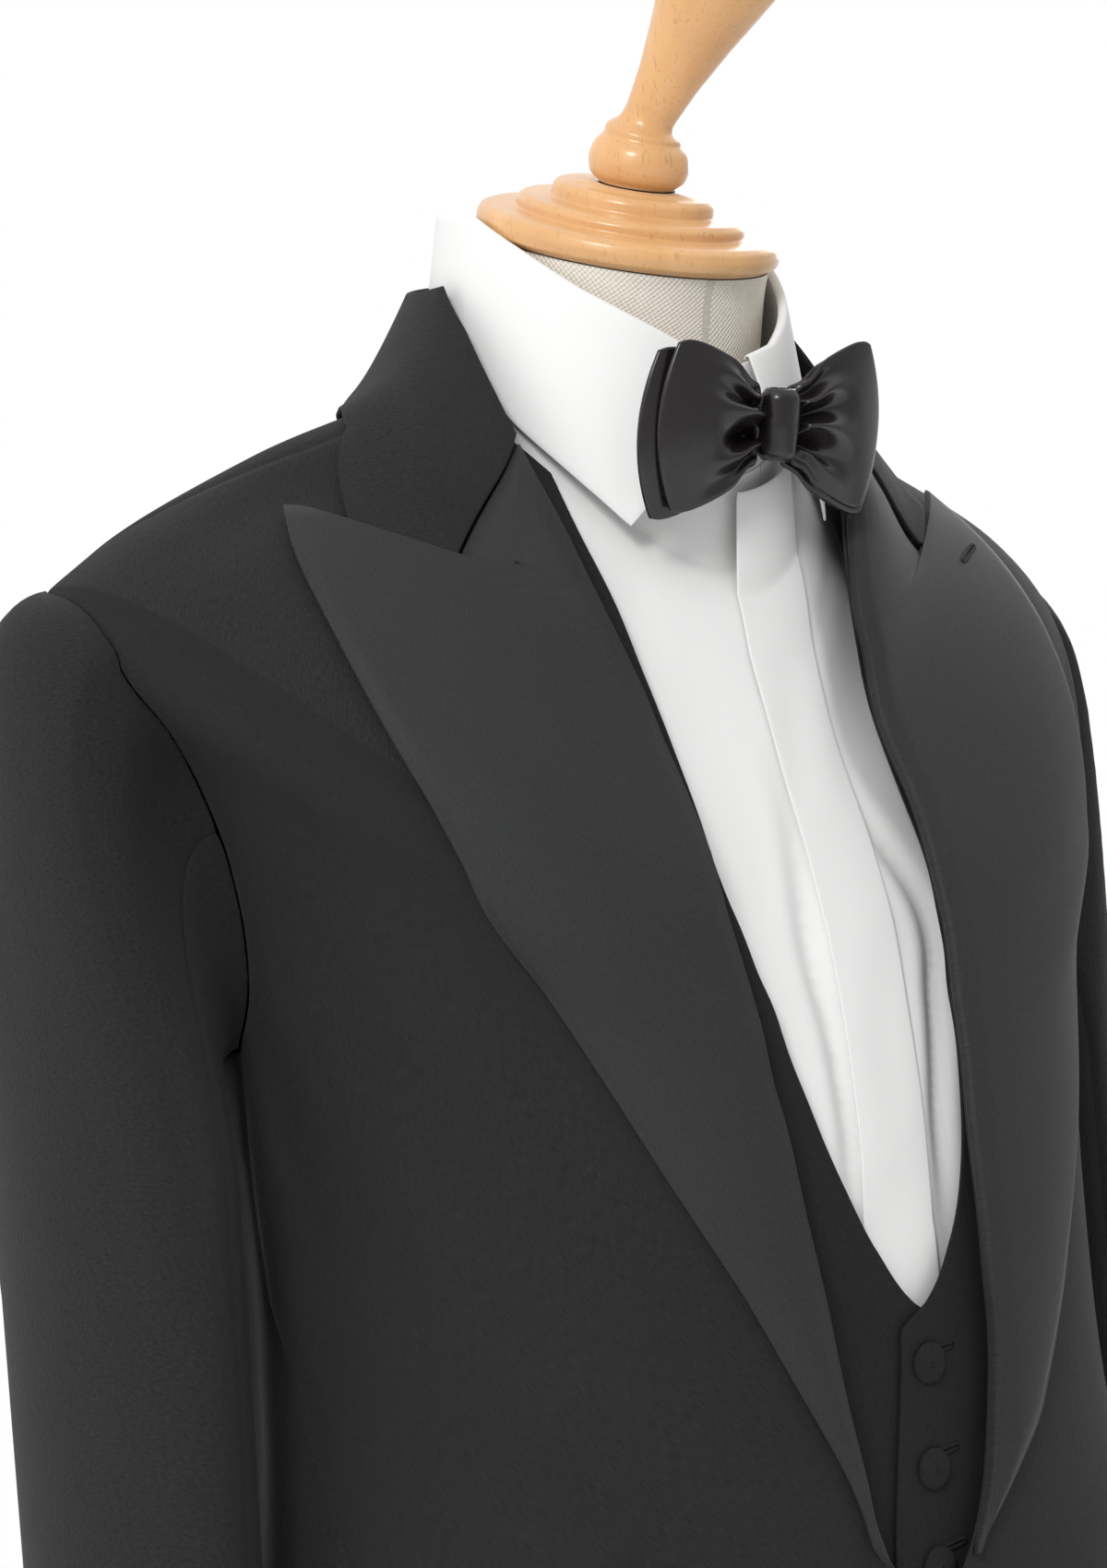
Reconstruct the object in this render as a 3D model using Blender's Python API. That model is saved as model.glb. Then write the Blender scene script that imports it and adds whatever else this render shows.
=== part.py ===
"""A tuxedo on a limbless tailor's dress form: jacket, waistcoat, shirt and bow tie as thin cloth walls.

The wearer's front faces -Y and the wearer's left is +X. Sizes below are in millimetres, heights are
measured from the nape of the neck, and the whole part stands on z = 0.
"""

import bpy
import numpy as np

MM = 0.001
NAPE = 880.0
SEAM = 0.35
SIDES = (("right", -1), ("left", 1))

# How deep each layer's outer face lies under the jacket's outer face, and how thick its wall is.
JACKET_WALL = 2.0
JACKET_UNDERLAP = 3.2
WAISTCOAT_DEPTH = 8.8
WAISTCOAT_WALL = 1.5
WAISTCOAT_UNDERLAP = 2.4
SHIRT_DEPTH = 17.4
SHIRT_WALL = 1.2
PLACKET_DEPTH = 15.5
PLACKET_WALL = 1.2
PLACKET_WIDTH = 32.0
FORM_DEPTH = 20.6
FORM_BACK_DEPTH = 24.0
FORM_SHOULDER_DEPTH = 24.5
LAPEL_LIFT = 5.9
LAPEL_WALL = 2.6
ROLL_GAP = 0.45

# The jacket's outer face is a loft through closed rings round the trunk, from the neck seam to the hem.
# width is the half width, mid is where the ring is widest, front and back are where it crosses the middle,
# and square is the exponent of its superellipse, 2 for an ellipse.
RING_COLUMNS = ("width", "mid", "front", "back", "high_front", "high_side", "high_back", "square")
TORSO_RINGS = (
    ("neck seam", 78, 9, -72, 88, -78, 4, 8, 2.0),
    ("collar spread", 104, 19, -86, 98, -112, -8, -18, 2.0),
    ("mid shoulder", 150, 38, -102, 113, -167, -25, -64, 1.65),
    ("outer shoulder", 211, 54, -119, 129, -222, -57, -132, 2.08),
    ("shoulder end", 242, 60, -130, 136, -262, -92, -185, 1.9),
    ("upper armhole", 200, 51, -138, 136, -300, -148, -235, 2.0),
    ("lower armhole", 182, 40, -142, 134, -335, -225, -280, 2.13),
    ("chest", 177, 36, -143, 136, -370, -305, -335, 2.13),
    ("above waist", 181, 32, -140, 134, -420, -400, -405, 2.12),
    ("waist", 190, 30, -137, 135, -490, -490, -490, 2.25),
    ("hip", 200, 26, -135, 146, -590, -590, -590, 2.3),
    ("seat", 209, 25, -137, 157, -680, -680, -680, 2.3),
    ("hem", 215, 25, -139, 163, -765, -765, -765, 2.3),
)
HEM = 12.0

# The jacket collar's fold line, a ring of the same kind above the neck seam; the collar meets the
# trunk's own shape at FOLD_MEETS.
FOLD_RING = (77, 4, -66, 84, -46, 36, 50, 2.0)
FOLD_MEETS = 1.2

# Seams and edges: ring is a place between the rings above (0 the neck seam, 12 the hem), and angle is in
# degrees round the trunk from the middle of the front.
ARMHOLE_TOP, ARMHOLE_LOW = 3.45, 6.36
SHOULDER_SEAM = ((0, 86), (1.6, 80), (2.46, 86), (3, 93), (ARMHOLE_TOP, 95))
ARMHOLE_FRONT = ((ARMHOLE_TOP, 95), (3.62, 82.4), (3.79, 76.8), (3.95, 74.4), (4.41, 75), (4.91, 80.4),
                 (5.41, 82.3), (5.78, 84.2), (6.1, 87), (ARMHOLE_LOW, 91))
ARMHOLE_BACK = ((ARMHOLE_TOP, 95), (3.8, 103), (4.5, 110), (5.2, 114), (5.9, 114), (ARMHOLE_LOW, 108))
FRONT_SEAM = ((ARMHOLE_LOW, 91), (7, 93.5), (7.4, 90.8), (7.75, 86.6), (8.1, 82.4), (8.45, 78.8), (10, 72),
              (12, 69))
BACK_SEAM = ((ARMHOLE_LOW, 108), (8, 117), (10, 119), (12, 117))
ROLL_LINES = {
    "right": ((0.7, 59), (0.78, 56.4), (1.08, 46.5), (1.44, 38.2), (1.83, 32), (2.2, 27.2), (2.46, 22.7),
              (2.76, 18.3), (3.21, 15.8), (4.08, 15.6), (4.93, 17), (5.86, 16.5), (7, 15.1), (7.61, 13.5),
              (8.09, 11.3), (8.42, 9.4), (8.7, 6), (9.1, -5)),
    "left": ((0.7, 52), (0.78, 40), (1, 29), (1.62, 23.7), (2.3, 18.4), (2.89, 11.6), (3.26, 10.1),
             (3.8, 9.5), (4.52, 9), (5.76, 7.5), (6.5, 7.2), (7.62, 7.2), (8.3, 4.8), (8.7, 1), (9.1, -6)),
}
BREAK = 8.6
FRONT_CUT = ((9.1, -6), (9.4, -8), (9.9, -6.5), (10.6, 4), (11.3, 15), (11.8, 27), (12, 37))
LAPEL_EDGE = ((2.36, 71.1), (2.59, 65.7), (2.95, 55.7), (3.45, 45.2), (3.66, 42.4), (4.11, 40.2), (4.85, 40.8),
              (5.19, 39.6), (6.04, 32.5), (6.78, 25.9), (7.43, 19.9), (8.24, 11.8), (8.6, 9.2))
LAPEL_TIP, LAPEL_CORNER, NOTCH, GORGE_TOP = (2.36, 71.1), (2.25, 64.1), (2.09, 52.2), (0.78, 56.4)
LAPEL_SHARES = np.array([0, 0.07, 0.22, 0.4, 0.56, 0.7, 0.82, 0.92, 1.0])
NOTCH_GAP = (0.08, 1.6)

# The collar's fold and fall edges: angle round the neck, and the ring where the edge lies.
COLLAR_FOLD = ((57, 0.77), (64, 0.59), (76, 0.3), (92, 0.0), (180, 0.0))
COLLAR_FALL = ((64.1, 2.25), (78.5, 1.54), (90, 1.28), (106, 1.1), (140, 0.98), (180, 0.93))

WAISTCOAT_OPENING = ((0.5, 50), (1.28, 34.5), (1.75, 28.8), (2.1, 24.3), (2.54, 18), (3.03, 13), (3.6, 11.7),
                     (4.5, 11.4), (5.1, 10.6), (5.67, 8.4), (6.27, 5.2), (6.9, 0.4), (7.1, -3.1))
WAISTCOAT_FRONT_EDGE = ((7.1, -3.1), (9.3, -3.1), (9.9, 3))
WAISTCOAT_SHOULDER_END, WAISTCOAT_UNDERARM = 2.5, 6.7
WAISTCOAT_SHOULDER = ((0.5, 96), (WAISTCOAT_SHOULDER_END, 95))
WAISTCOAT_ARM_FRONT = ((WAISTCOAT_SHOULDER_END, 95), (3, 80), (4.2, 62), (5.2, 60), (6.1, 67),
                       (WAISTCOAT_UNDERARM, 92))
WAISTCOAT_ARM_BACK = ((WAISTCOAT_SHOULDER_END, 95), (3, 112), (4.2, 125), (5.2, 127), (6.1, 118),
                      (WAISTCOAT_UNDERARM, 93))
WAISTCOAT_SIDE = ((WAISTCOAT_UNDERARM, 92), (9.9, 92))
WAISTCOAT_POINT_DROP = 0.5
SHIRT_SHOULDER_END, SHIRT_UNDERARM = 3.5, 6.1
SHIRT_SHOULDER = ((0, 92), (SHIRT_SHOULDER_END, 95))
SHIRT_ARM_FRONT = ((SHIRT_SHOULDER_END, 95), (3.8, 88), (4.3, 86), (5, 88), (5.7, 91), (SHIRT_UNDERARM, 96))
SHIRT_ARM_BACK = ((SHIRT_SHOULDER_END, 95), (3.8, 99), (4.4, 104), (5.1, 107), (5.7, 104), (SHIRT_UNDERARM, 96))
SHIRT_SIDE = ((SHIRT_UNDERARM, 96), (10.6, 94))

# The placket's middle: ring, and millimetres to the wearer's left.
PLACKET_MIDDLE = ((0.3, 15), (1, 13.5), (2.4, 14), (3, 12.5), (4.4, 6), (6, -1), (10.6, -1))

# Sleeves: heights of their rings, and each ring's centre and half sizes across and along the body.
SLEEVE_COLUMNS = ("high", "out", "mid", "across", "along")
SLEEVE_RINGS = (
    ("upper arm", -300, 228, 58, 33, 71),
    ("above elbow", -420, 231, 56, 34, 67),
    ("elbow", -520, 236, 52, 34, 61),
    ("forearm", -620, 243, 41, 34, 57),
    ("cuff", -712, 252, 28, 33, 53),
)
SLEEVE_GAP = 0.9
SHIRT_SLEEVE_GAP = 4.0
SHIRT_SLEEVE_INSET = 8.0
SHIRT_CUFF_SHOWS = 14.0
TOP_SLEEVE = (-106.0, 104.0)
CAP_ROWS = (0, 0.08, 0.18, 0.32, 0.5, 0.72)
SHIRT_SLEEVE_ROWS, SHIRT_CUFF_ROWS = (0, 0.12, 0.3, 0.6, 1, 2.6, 4.3), (4.303, 5.0, 5.15)

# The shirt collar's fold and the leaf's lower edge: half width, middle, front and back of each, and their
# heights by the angle from the middle of the front.
COLLAR_PLAN = {"fold": (66, -2, -77, 66), "leaf": (75, 2, -85, 78)}
FOLD_HEIGHTS = ((0, -6), (20, 1), (36, 13), (51, 25), (70, 43), (90, 61), (130, 71), (180, 75))
LEAF_HEIGHTS = ((0, -24), (20, -38), (41, -66), (49, -54), (60, -38), (70, -24), (90, 8), (180, 20))
STAND_FOOT, STAND_START = 0.35, 1.2
STAND_WALL, STAND_INSET, STAND_LIFT = 1.4, 2.4, 1.5
LEAF_WALL = 1.5
LEAF_START = 6.0

# The bow tie: its knot, how a wing grows from the knot to its tip, and how the back layer differs.
BOW_CENTRE = (3.5, -91, -32)
BOW_SWEEP = 3.0
BOW_START, BOW_REACH, BOW_TIP_CURVE = 8.6, 39.0, 7.0
BOW_HALF_START, BOW_HALF_GROWS, BOW_FLARE = 13.0, 20.5, 0.62
BOW_PUFF = 7.0
BOW_WALL = 2.4
BOW_LEAN = 13.0
BACK_LAYER_LONGER, BACK_LAYER_BEHIND, BACK_LAYER_LOWER = 5.0, 5.6, 2.0
KNOT_PROFILE = ((5.4, -13.5), (7.6, -11), (8.4, 0), (7.6, 11), (5.4, 13.5))

# Buttons: their places on the middle of the front, as rings.
WAISTCOAT_BUTTONS = (7.4, 8.12, 8.67, 9.18)
JACKET_BUTTON = 9.45
BUTTON_RADIUS = 7.6
BUTTON_THICK = 2.9

# The dress form's wood and stand: radius and height along each piece's own axis.
CAP_CENTRE = (0, -17, 55)
CAP_AXIS = (0, -0.375, 0.927)
CAP_PROFILE = ((57, -6), (60.5, -4), (61, 0), (60, 3.5), (57, 5), (46, 5.4), (46, 9), (43.5, 11), (33, 11.4),
               (32.5, 16), (30.5, 18), (16, 19))
NECK_RADIUS = 57.5
FINIAL_BEND = (14, 32)
FINIAL_AXIS = (0.22, -0.56, 0.8)
FINIAL_PROFILE = ((15, 0), (19, 3), (20.5, 9), (19, 15), (15.5, 18.5), (15.5, 21), (11, 24), (10.2, 28),
                  (12.5, 44), (17, 64), (24, 90), (25, 94), (22, 97.5))
FORM_BOTTOM = 11.1
POLE_RADIUS = 24.0
BASE_PROFILE = ((165, -880), (170, -877), (170, -866), (164, -858), (120, -853), (60, -848), (34, -838))


def column(table, name, columns):
    """One named column of a table whose rows start with a label."""
    return np.array([row[1 + columns.index(name)] for row in table], float)


RINGS = np.stack([column(TORSO_RINGS, name, RING_COLUMNS) for name in RING_COLUMNS], axis=-1)
SLEEVES = np.stack([column(SLEEVE_RINGS, name, SLEEVE_COLUMNS) for name in SLEEVE_COLUMNS], axis=-1)
FOLD = np.array(FOLD_RING, float)


def spline(table, place):
    """A smooth curve through the rows of a table, read at any place between them."""
    last = len(table) - 1
    place = np.clip(np.asarray(place, float), 0, last)
    low = np.minimum(place.astype(int), last - 1)
    t = (place - low)[..., None]
    before, here = table[np.maximum(low - 1, 0)], table[low]
    there, after = table[low + 1], table[np.minimum(low + 2, last)]
    bend = (2 * before - 5 * here + 4 * there - after) * t**2
    turn = (3 * here - before - 3 * there + after) * t**3
    return 0.5 * (2 * here + (there - before) * t + bend + turn)


def ring_point(ring, angle):
    """The point of a ring at an angle in degrees from the middle of the front, positive to the left."""
    width, mid, front, back, high_front, high_side, high_back, square = np.moveaxis(ring, -1, 0)
    turn = np.radians(angle)
    power = 2 / square
    ahead = np.abs(np.cos(turn)) ** power
    aside = np.sign(np.sin(turn)) * np.abs(np.sin(turn)) ** power
    facing = np.cos(turn) > 0
    y = mid + np.where(facing, front - mid, back - mid) * ahead
    high = high_side + np.where(facing, high_front - high_side, high_back - high_side) * np.cos(turn) ** 2
    return np.stack(np.broadcast_arrays(width * aside, y, high), axis=-1)


def torso(angle, ring, depth=0.0):
    """A point at some depth under the jacket's outer face."""
    angle, ring, depth = np.broadcast_arrays(*(np.asarray(v, float) for v in (angle, ring, depth)))
    ring = np.clip(ring, 0, HEM)
    near, far = np.clip(ring - 0.02, 0, HEM), np.clip(ring + 0.02, 0, HEM)
    down = ring_point(spline(RINGS, far), angle) - ring_point(spline(RINGS, near), angle)
    level = spline(RINGS, ring)
    round_ = ring_point(level, angle + 0.6) - ring_point(level, angle - 0.6)
    normal = np.cross(down, round_)
    normal /= np.linalg.norm(normal, axis=-1, keepdims=True)
    return ring_point(level, angle) - depth[..., None] * normal


def turned_out(angle, ring, lift):
    """A point of the lapels and the collar: above the jacket, and rising to the fold line round the neck."""
    angle, ring, lift = np.broadcast_arrays(*(np.asarray(v, float) for v in (angle, ring, lift)))
    lying = torso(angle, np.maximum(ring, FOLD_MEETS), -lift)
    seat = torso(angle, FOLD_MEETS, -lift)
    fold = ring_point(FOLD, angle)
    outward = fold - np.array([0, FOLD[1], 0])
    outward[..., 2] = 0
    outward /= np.linalg.norm(outward, axis=-1, keepdims=True)
    fold = fold + (lift[..., None] - LAPEL_LIFT) * outward
    middle = 2 * seat - torso(angle, FOLD_MEETS + 0.5, -lift)
    t = np.clip(ring / FOLD_MEETS, 0, 1)[..., None]
    rising = (1 - t) ** 2 * fold + 2 * t * (1 - t) * middle + t**2 * seat
    return np.where((ring < FOLD_MEETS)[..., None], rising, lying)


def edge(table, ring):
    """The angle of a seam or an edge at a ring, by a curve that doesn't overshoot its rows."""
    places, angles = np.array(table, float).T
    slopes = np.diff(angles) / np.diff(places)
    tangent = np.concatenate([slopes[:1], (slopes[1:] + slopes[:-1]) / 2, slopes[-1:]])
    tangent[1:-1][slopes[1:] * slopes[:-1] < 0] = 0
    ring = np.clip(ring, places[0], places[-1])
    at = np.clip(np.searchsorted(places, ring) - 1, 0, len(slopes) - 1)
    span = places[at + 1] - places[at]
    t = (ring - places[at]) / span
    rise = (2 * t**3 - 3 * t**2 + 1) * angles[at] + (3 * t**2 - 2 * t**3) * angles[at + 1]
    lean = (t**3 - 2 * t**2 + t) * tangent[at] + (t**3 - t**2) * tangent[at + 1]
    return rise + span * lean


def joined(*tables):
    """Edges that follow one another, as one function of the ring."""

    def angle_at(ring):
        ring = np.asarray(ring, float)
        found = edge(tables[0], ring)
        for table in tables[1:]:
            found = np.where(ring >= table[0][0], edge(table, ring), found)
        return found

    return angle_at


def cloth(name, color, roughness, metallic=0.0):
    made = bpy.data.materials.new(name)
    made.use_nodes = True
    shader = made.node_tree.nodes["Principled BSDF"]
    shader.inputs["Base Color"].default_value = (*color, 1)
    shader.inputs["Roughness"].default_value = roughness
    shader.inputs["Metallic"].default_value = metallic
    return made


def clear_scene():
    for thing in list(bpy.data.objects):
        bpy.data.objects.remove(thing, do_unlink=True)


def add_solid(name, points, faces, material):
    mesh = bpy.data.meshes.new(name)
    placed = (np.asarray(points) + np.array([0, 0, NAPE])) * MM
    mesh.from_pydata(placed.tolist(), [], faces)
    mesh.materials.append(material)
    mesh.validate()
    mesh.shade_smooth()
    mesh.set_sharp_from_angle(angle=np.radians(40))
    thing = bpy.data.objects.new(name, mesh)
    bpy.context.scene.collection.objects.link(thing)
    return thing


def add_wall(name, outer, inner, material, wrap=False):
    """A closed wall between two grids of points, with a rim along each open edge."""
    rows, columns = outer.shape[:2]
    size = rows * columns
    points = np.concatenate([outer.reshape(-1, 3), inner.reshape(-1, 3)])
    faces = []
    steps = columns if wrap else columns - 1
    for row in range(rows - 1):
        for col in range(steps):
            a, b = row * columns + col, row * columns + (col + 1) % columns
            c, d = b + columns, a + columns
            faces.append((a, d, c, b))
            faces.append((a + size, b + size, c + size, d + size))
    for col in range(steps):
        after = (col + 1) % columns
        faces.append((col, after, after + size, col + size))
        low = (rows - 1) * columns
        faces.append((low + after, low + col, low + col + size, low + after + size))
    if not wrap:
        for row in range(rows - 1):
            a, d = row * columns, (row + 1) * columns
            faces.append((d, a, a + size, d + size))
            b, c = a + columns - 1, d + columns - 1
            faces.append((b, c, c + size, b + size))
    if mesh_volume(points, faces) < 0:
        faces = [tuple(reversed(face)) for face in faces]
    return add_solid(name, points, faces, material)


def mesh_volume(points, faces):
    total = 0.0
    for face in faces:
        first = points[face[0]]
        for one, two in zip(face[1:-1], face[2:]):
            total += np.dot(first, np.cross(points[one], points[two]))
    return total / 6


def add_turned(name, profile, material, steps=32, base=(0, 0, 0), axis=(0, 0, 1)):
    """A turned solid: profile is (radius, height along the axis), from one end on the axis to the other."""
    axis = np.array(axis, float) / np.linalg.norm(axis)
    side = np.cross(axis, (1, 0, 0))
    side /= np.linalg.norm(side)
    other = np.cross(axis, side)
    turns = np.linspace(0, 2 * np.pi, steps, endpoint=False)
    spoke = np.cos(turns)[:, None] * side + np.sin(turns)[:, None] * other
    rings = [np.array(base) + height * axis + radius * spoke for radius, height in profile]
    points = list(np.concatenate(rings))
    faces = []
    for row in range(len(profile) - 1):
        for col in range(steps):
            a, b = row * steps + col, row * steps + (col + 1) % steps
            faces.append((a, b, b + steps, a + steps))
    for row, height in ((0, profile[0][1]), (len(profile) - 1, profile[-1][1])):
        points.append(np.array(base) + height * axis)
        hub = len(points) - 1
        for col in range(steps):
            a, b = row * steps + col, row * steps + (col + 1) % steps
            faces.append((b, a, hub) if row == 0 else (a, b, hub))
    points = np.array(points)
    if mesh_volume(points, faces) < 0:
        faces = [tuple(reversed(face)) for face in faces]
    return add_solid(name, points, faces, material)


FRONT_CLOSENESS = 1.3
FRONT_SHARES = np.array([0, 0.07, 0.2, 0.37, 0.54, 0.7, 0.82, 0.92, 1])
BACK_SHARES = np.array([0, 0.06, 0.14, 0.25, 0.37, 0.5, 0.63, 0.75, 0.86, 0.94, 1])


def add_panel(name, side, rings, inner_edge, outer_edge, shares, depth, wall, material, lowered=None):
    """A cut panel of the trunk between two edges; depth is a number or a function of angle and ring."""
    rings = np.asarray(rings, float)
    start, end = inner_edge(rings), outer_edge(rings)
    angles = start[:, None] + (end - start)[:, None] * shares
    levels = np.broadcast_to(rings[:, None], angles.shape)
    if lowered:
        levels = lowered(angles, levels)
    sunk = depth(angles, levels) if callable(depth) else np.full(angles.shape, float(depth))
    outer = torso(angles * side, levels, sunk)
    inner = torso(angles * side, levels, sunk + wall)
    return add_wall(name, outer, inner, material)


def eased(value, low, high):
    t = np.clip((value - low) / (high - low), 0, 1)
    return t * t * (3 - 2 * t)


def seam_angle(ring):
    """The angle that a seam's gap takes at a ring."""
    return np.degrees(SEAM / spline(RINGS, ring)[..., 0])


def shifted(edge_at, seams):
    return lambda ring: edge_at(ring) + seams * seam_angle(ring)


def stretches(*stops):
    """Places along several stretches, each given as (start, end, steps)."""
    parts = [np.linspace(start, end, count, endpoint=False) for start, end, count in stops]
    return np.concatenate([*parts, [stops[-1][1]]])


def angle_of(across, ring, depth):
    """The angle at which the trunk's middle front is some millimetres to the left."""
    level = spline(RINGS, ring)
    share = np.abs(across) / (level[..., 0] - depth)
    return np.degrees(np.sign(across) * np.arcsin(share ** (level[..., 7] / 2)))


def add_jacket_trunk(wool):
    back_end = joined(SHOULDER_SEAM, ARMHOLE_BACK, BACK_SEAM)
    front_end = joined(SHOULDER_SEAM, ARMHOLE_FRONT, FRONT_SEAM)
    upper = ((0.7, ARMHOLE_TOP, 8), (ARMHOLE_TOP, ARMHOLE_LOW, 7))
    lower = ((ARMHOLE_LOW, 9.1, 4), (9.1, 12, 6))
    for word, side in SIDES:
        under = JACKET_UNDERLAP if word == "right" else 0.0

        def front_depth(angle, ring, under=under):
            return under * (1 - eased(angle, 8, 24)) * eased(ring, 8.0, 9.0)

        front_edge = joined(ROLL_LINES[word], FRONT_CUT)
        add_panel(
            f"jacket_front_{word}", side, stretches(*upper, *lower), front_edge,
            shifted(front_end, -1), np.linspace(0, 1, 10) ** FRONT_CLOSENESS, front_depth, JACKET_WALL, wool,
        )
        add_panel(
            f"jacket_side_{word}", side, stretches(*lower), joined(FRONT_SEAM),
            shifted(joined(BACK_SEAM), -1), np.linspace(0, 1, 4), 0.0, JACKET_WALL, wool,
        )
        add_panel(
            f"jacket_back_{word}", side, stretches((0.0, 0.7, 1), *upper, *lower),
            shifted(back_end, 3),
            lambda ring: 180.0 - 0.6 * seam_angle(ring), np.linspace(0, 1, 6), 0.0, JACKET_WALL, wool,
        )


def lapel_outline(word, count_edge, count_top, count_gorge):
    """Rows from the break to the gorge: each has the roll line's place and the outer edge's place."""
    rings = np.linspace(BREAK, LAPEL_TIP[0], count_edge)
    edge_rows = np.stack([rings, edge(LAPEL_EDGE, rings)], axis=-1)
    share = np.linspace(0, 1, count_top + 1)[1:, None]
    top_rows = np.array(LAPEL_TIP) + share * (np.array(NOTCH) - LAPEL_TIP)
    share = np.linspace(0, 0.93, count_gorge + 1)[1:, None]
    gorge_rows = np.array(NOTCH) + share * (np.array(GORGE_TOP) - NOTCH)
    outer = np.concatenate([edge_rows, top_rows, gorge_rows])
    rolls = np.concatenate([
        np.linspace(BREAK, 1.75, count_edge),
        np.linspace(1.75, 1.3, count_top + 1)[1:],
        np.linspace(1.3, 0.8, count_gorge + 1)[1:],
    ])
    inner = np.stack([rolls, edge(ROLL_LINES[word], rolls)], axis=-1)
    return inner, outer


def add_lapels(silk):
    for word, side in SIDES:
        inner, outer = lapel_outline(word, 14, 4, 4)
        places = inner[:, None] + LAPEL_SHARES[:, None] * (outer - inner)[:, None]
        ring, angle = places[..., 0], places[..., 1] * side
        top = turned_out(angle, ring, LAPEL_LIFT)
        under_lift = np.where(LAPEL_SHARES > 0, LAPEL_LIFT - LAPEL_WALL, ROLL_GAP)
        under = turned_out(angle, ring, under_lift)
        add_wall(f"lapel_{word}", top, under, silk)


def table_at(table, place):
    places, values = np.array(table, float).T
    return np.interp(place, places, values)


def collar_half(share):
    """The collar from one end (0) to the middle of the back (1): places across it from fold to fall."""
    across = np.linspace(0, 1, 7)
    t = share[:, None]
    (fold_start, start_ring), (fall_start, _) = COLLAR_FOLD[0], COLLAR_FALL[0]
    fold_angle = fold_start + (180 - fold_start) * t
    fall_angle = fall_start + (180 - fall_start) * t
    fold_ring = table_at(COLLAR_FOLD, fold_angle)
    fall_ring = table_at(COLLAR_FALL, fall_angle)
    angle = fold_angle + across * (fall_angle - fold_angle)
    ring = fold_ring + across * (fall_ring - fold_ring)
    end_places = (0, 0.5, 1)
    end_angles = (fold_start, NOTCH[1] + NOTCH_GAP[1], LAPEL_CORNER[1])
    end_rings = (start_ring, NOTCH[0] - NOTCH_GAP[0], LAPEL_CORNER[0] - NOTCH_GAP[0])
    end_angle = np.interp(across, end_places, end_angles)
    end_ring = np.interp(across, end_places, end_rings)
    fade = np.clip(1 - t / 0.2, 0, 1) ** 2
    return angle + fade * (end_angle - angle[:1]), ring + fade * (end_ring - ring[:1])


def add_collar(wool):
    share = np.concatenate([[0, 0.03, 0.07, 0.12, 0.18, 0.25], np.linspace(0.25, 1, 8)[1:]])
    angle, ring = collar_half(share)
    angle = np.concatenate([angle, 360 - angle[-2::-1]])
    ring = np.concatenate([ring, ring[-2::-1]])
    top = turned_out(angle, ring, LAPEL_LIFT)
    under = turned_out(angle, ring, LAPEL_LIFT - LAPEL_WALL)
    add_wall("jacket_collar", top, under, wool)


def armhole_loop(front, back, turn, depth, side):
    """A point of the armhole for each turn: 0 the top, 90 the front, 180 the underarm, 270 the back."""
    turn = np.mod(np.asarray(turn, float), 360)
    top, low = front[0][0], front[-1][0] - 0.03
    down = (1 - np.cos(np.radians(turn))) / 2
    ring = top + (low - top) * down
    angle = np.where(turn <= 180, edge(front, ring), edge(back, ring))
    return torso(angle * side, ring, depth)


def sleeve_surface(turn, along, side, front, back, depth, inset):
    """A sleeve as a surface: turn goes round it, and along runs from the armhole (0) by way of 1 to the cuff."""
    turn, along = np.broadcast_arrays(np.asarray(turn, float), np.asarray(along, float))
    start = armhole_loop(front, back, turn, depth, side)
    start[..., 0] += side * (SHIRT_SLEEVE_GAP if depth else SLEEVE_GAP)

    def ring_at(place):
        high, out, mid, across, length = np.moveaxis(spline(SLEEVES, place), -1, 0)
        rad = np.radians(turn)
        x = out + (across - inset) * np.cos(rad)
        y = mid - (length - inset) * np.sin(rad)
        return np.stack([side * x, y, high + 0 * x], axis=-1)

    first = ring_at(np.zeros_like(along))
    gap = np.linalg.norm(first - start, axis=-1, keepdims=True)
    outward = np.array([side * 0.985, 0, -0.17])
    t = np.clip(along, 0, 1)[..., None]
    cap = (
        (2 * t**3 - 3 * t**2 + 1) * start + (t**3 - 2 * t**2 + t) * outward * gap * 0.72
        + (3 * t**2 - 2 * t**3) * first + (t**3 - t**2) * np.array([0, 0, -1.0]) * gap * 0.9
    )
    return np.where((along > 1)[..., None], ring_at(np.maximum(along - 1, 0)), cap)


def add_sleeves(wool, cotton):
    along = np.concatenate([CAP_ROWS, np.linspace(1, 5, 6)])
    low, high = TOP_SLEEVE
    for word, side in SIDES:
        for name, start, end, columns in (("top", low, high, 12), ("under", high + 0.5, low + 359.5, 7)):
            turn = np.linspace(start, end, columns)
            outer = sleeve_surface(turn, along[:, None], side, ARMHOLE_FRONT, ARMHOLE_BACK, 0.0, 0.0)
            normal = sleeve_normal(turn, along[:, None], side, ARMHOLE_FRONT, ARMHOLE_BACK, 0.0, 0.0)
            add_wall(f"sleeve_{name}_{word}", outer, outer - JACKET_WALL * normal, wool)
        turn = np.linspace(0, 360, 12, endpoint=False)
        shirt = (side, SHIRT_ARM_FRONT, SHIRT_ARM_BACK, SHIRT_DEPTH, SHIRT_SLEEVE_INSET)
        for name, places in (("shirt_sleeve", SHIRT_SLEEVE_ROWS), ("shirt_cuff", SHIRT_CUFF_ROWS)):
            places = np.array(places)
            outer = sleeve_surface(turn, np.minimum(places, 5)[:, None], *shirt)
            normal = sleeve_normal(turn, np.minimum(places, 5)[:, None], *shirt)
            outer[..., 2] -= np.maximum(places - 5, 0)[:, None] / 0.15 * SHIRT_CUFF_SHOWS
            add_wall(f"{name}_{word}", outer, outer - SHIRT_WALL * normal, cotton, wrap=True)


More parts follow.
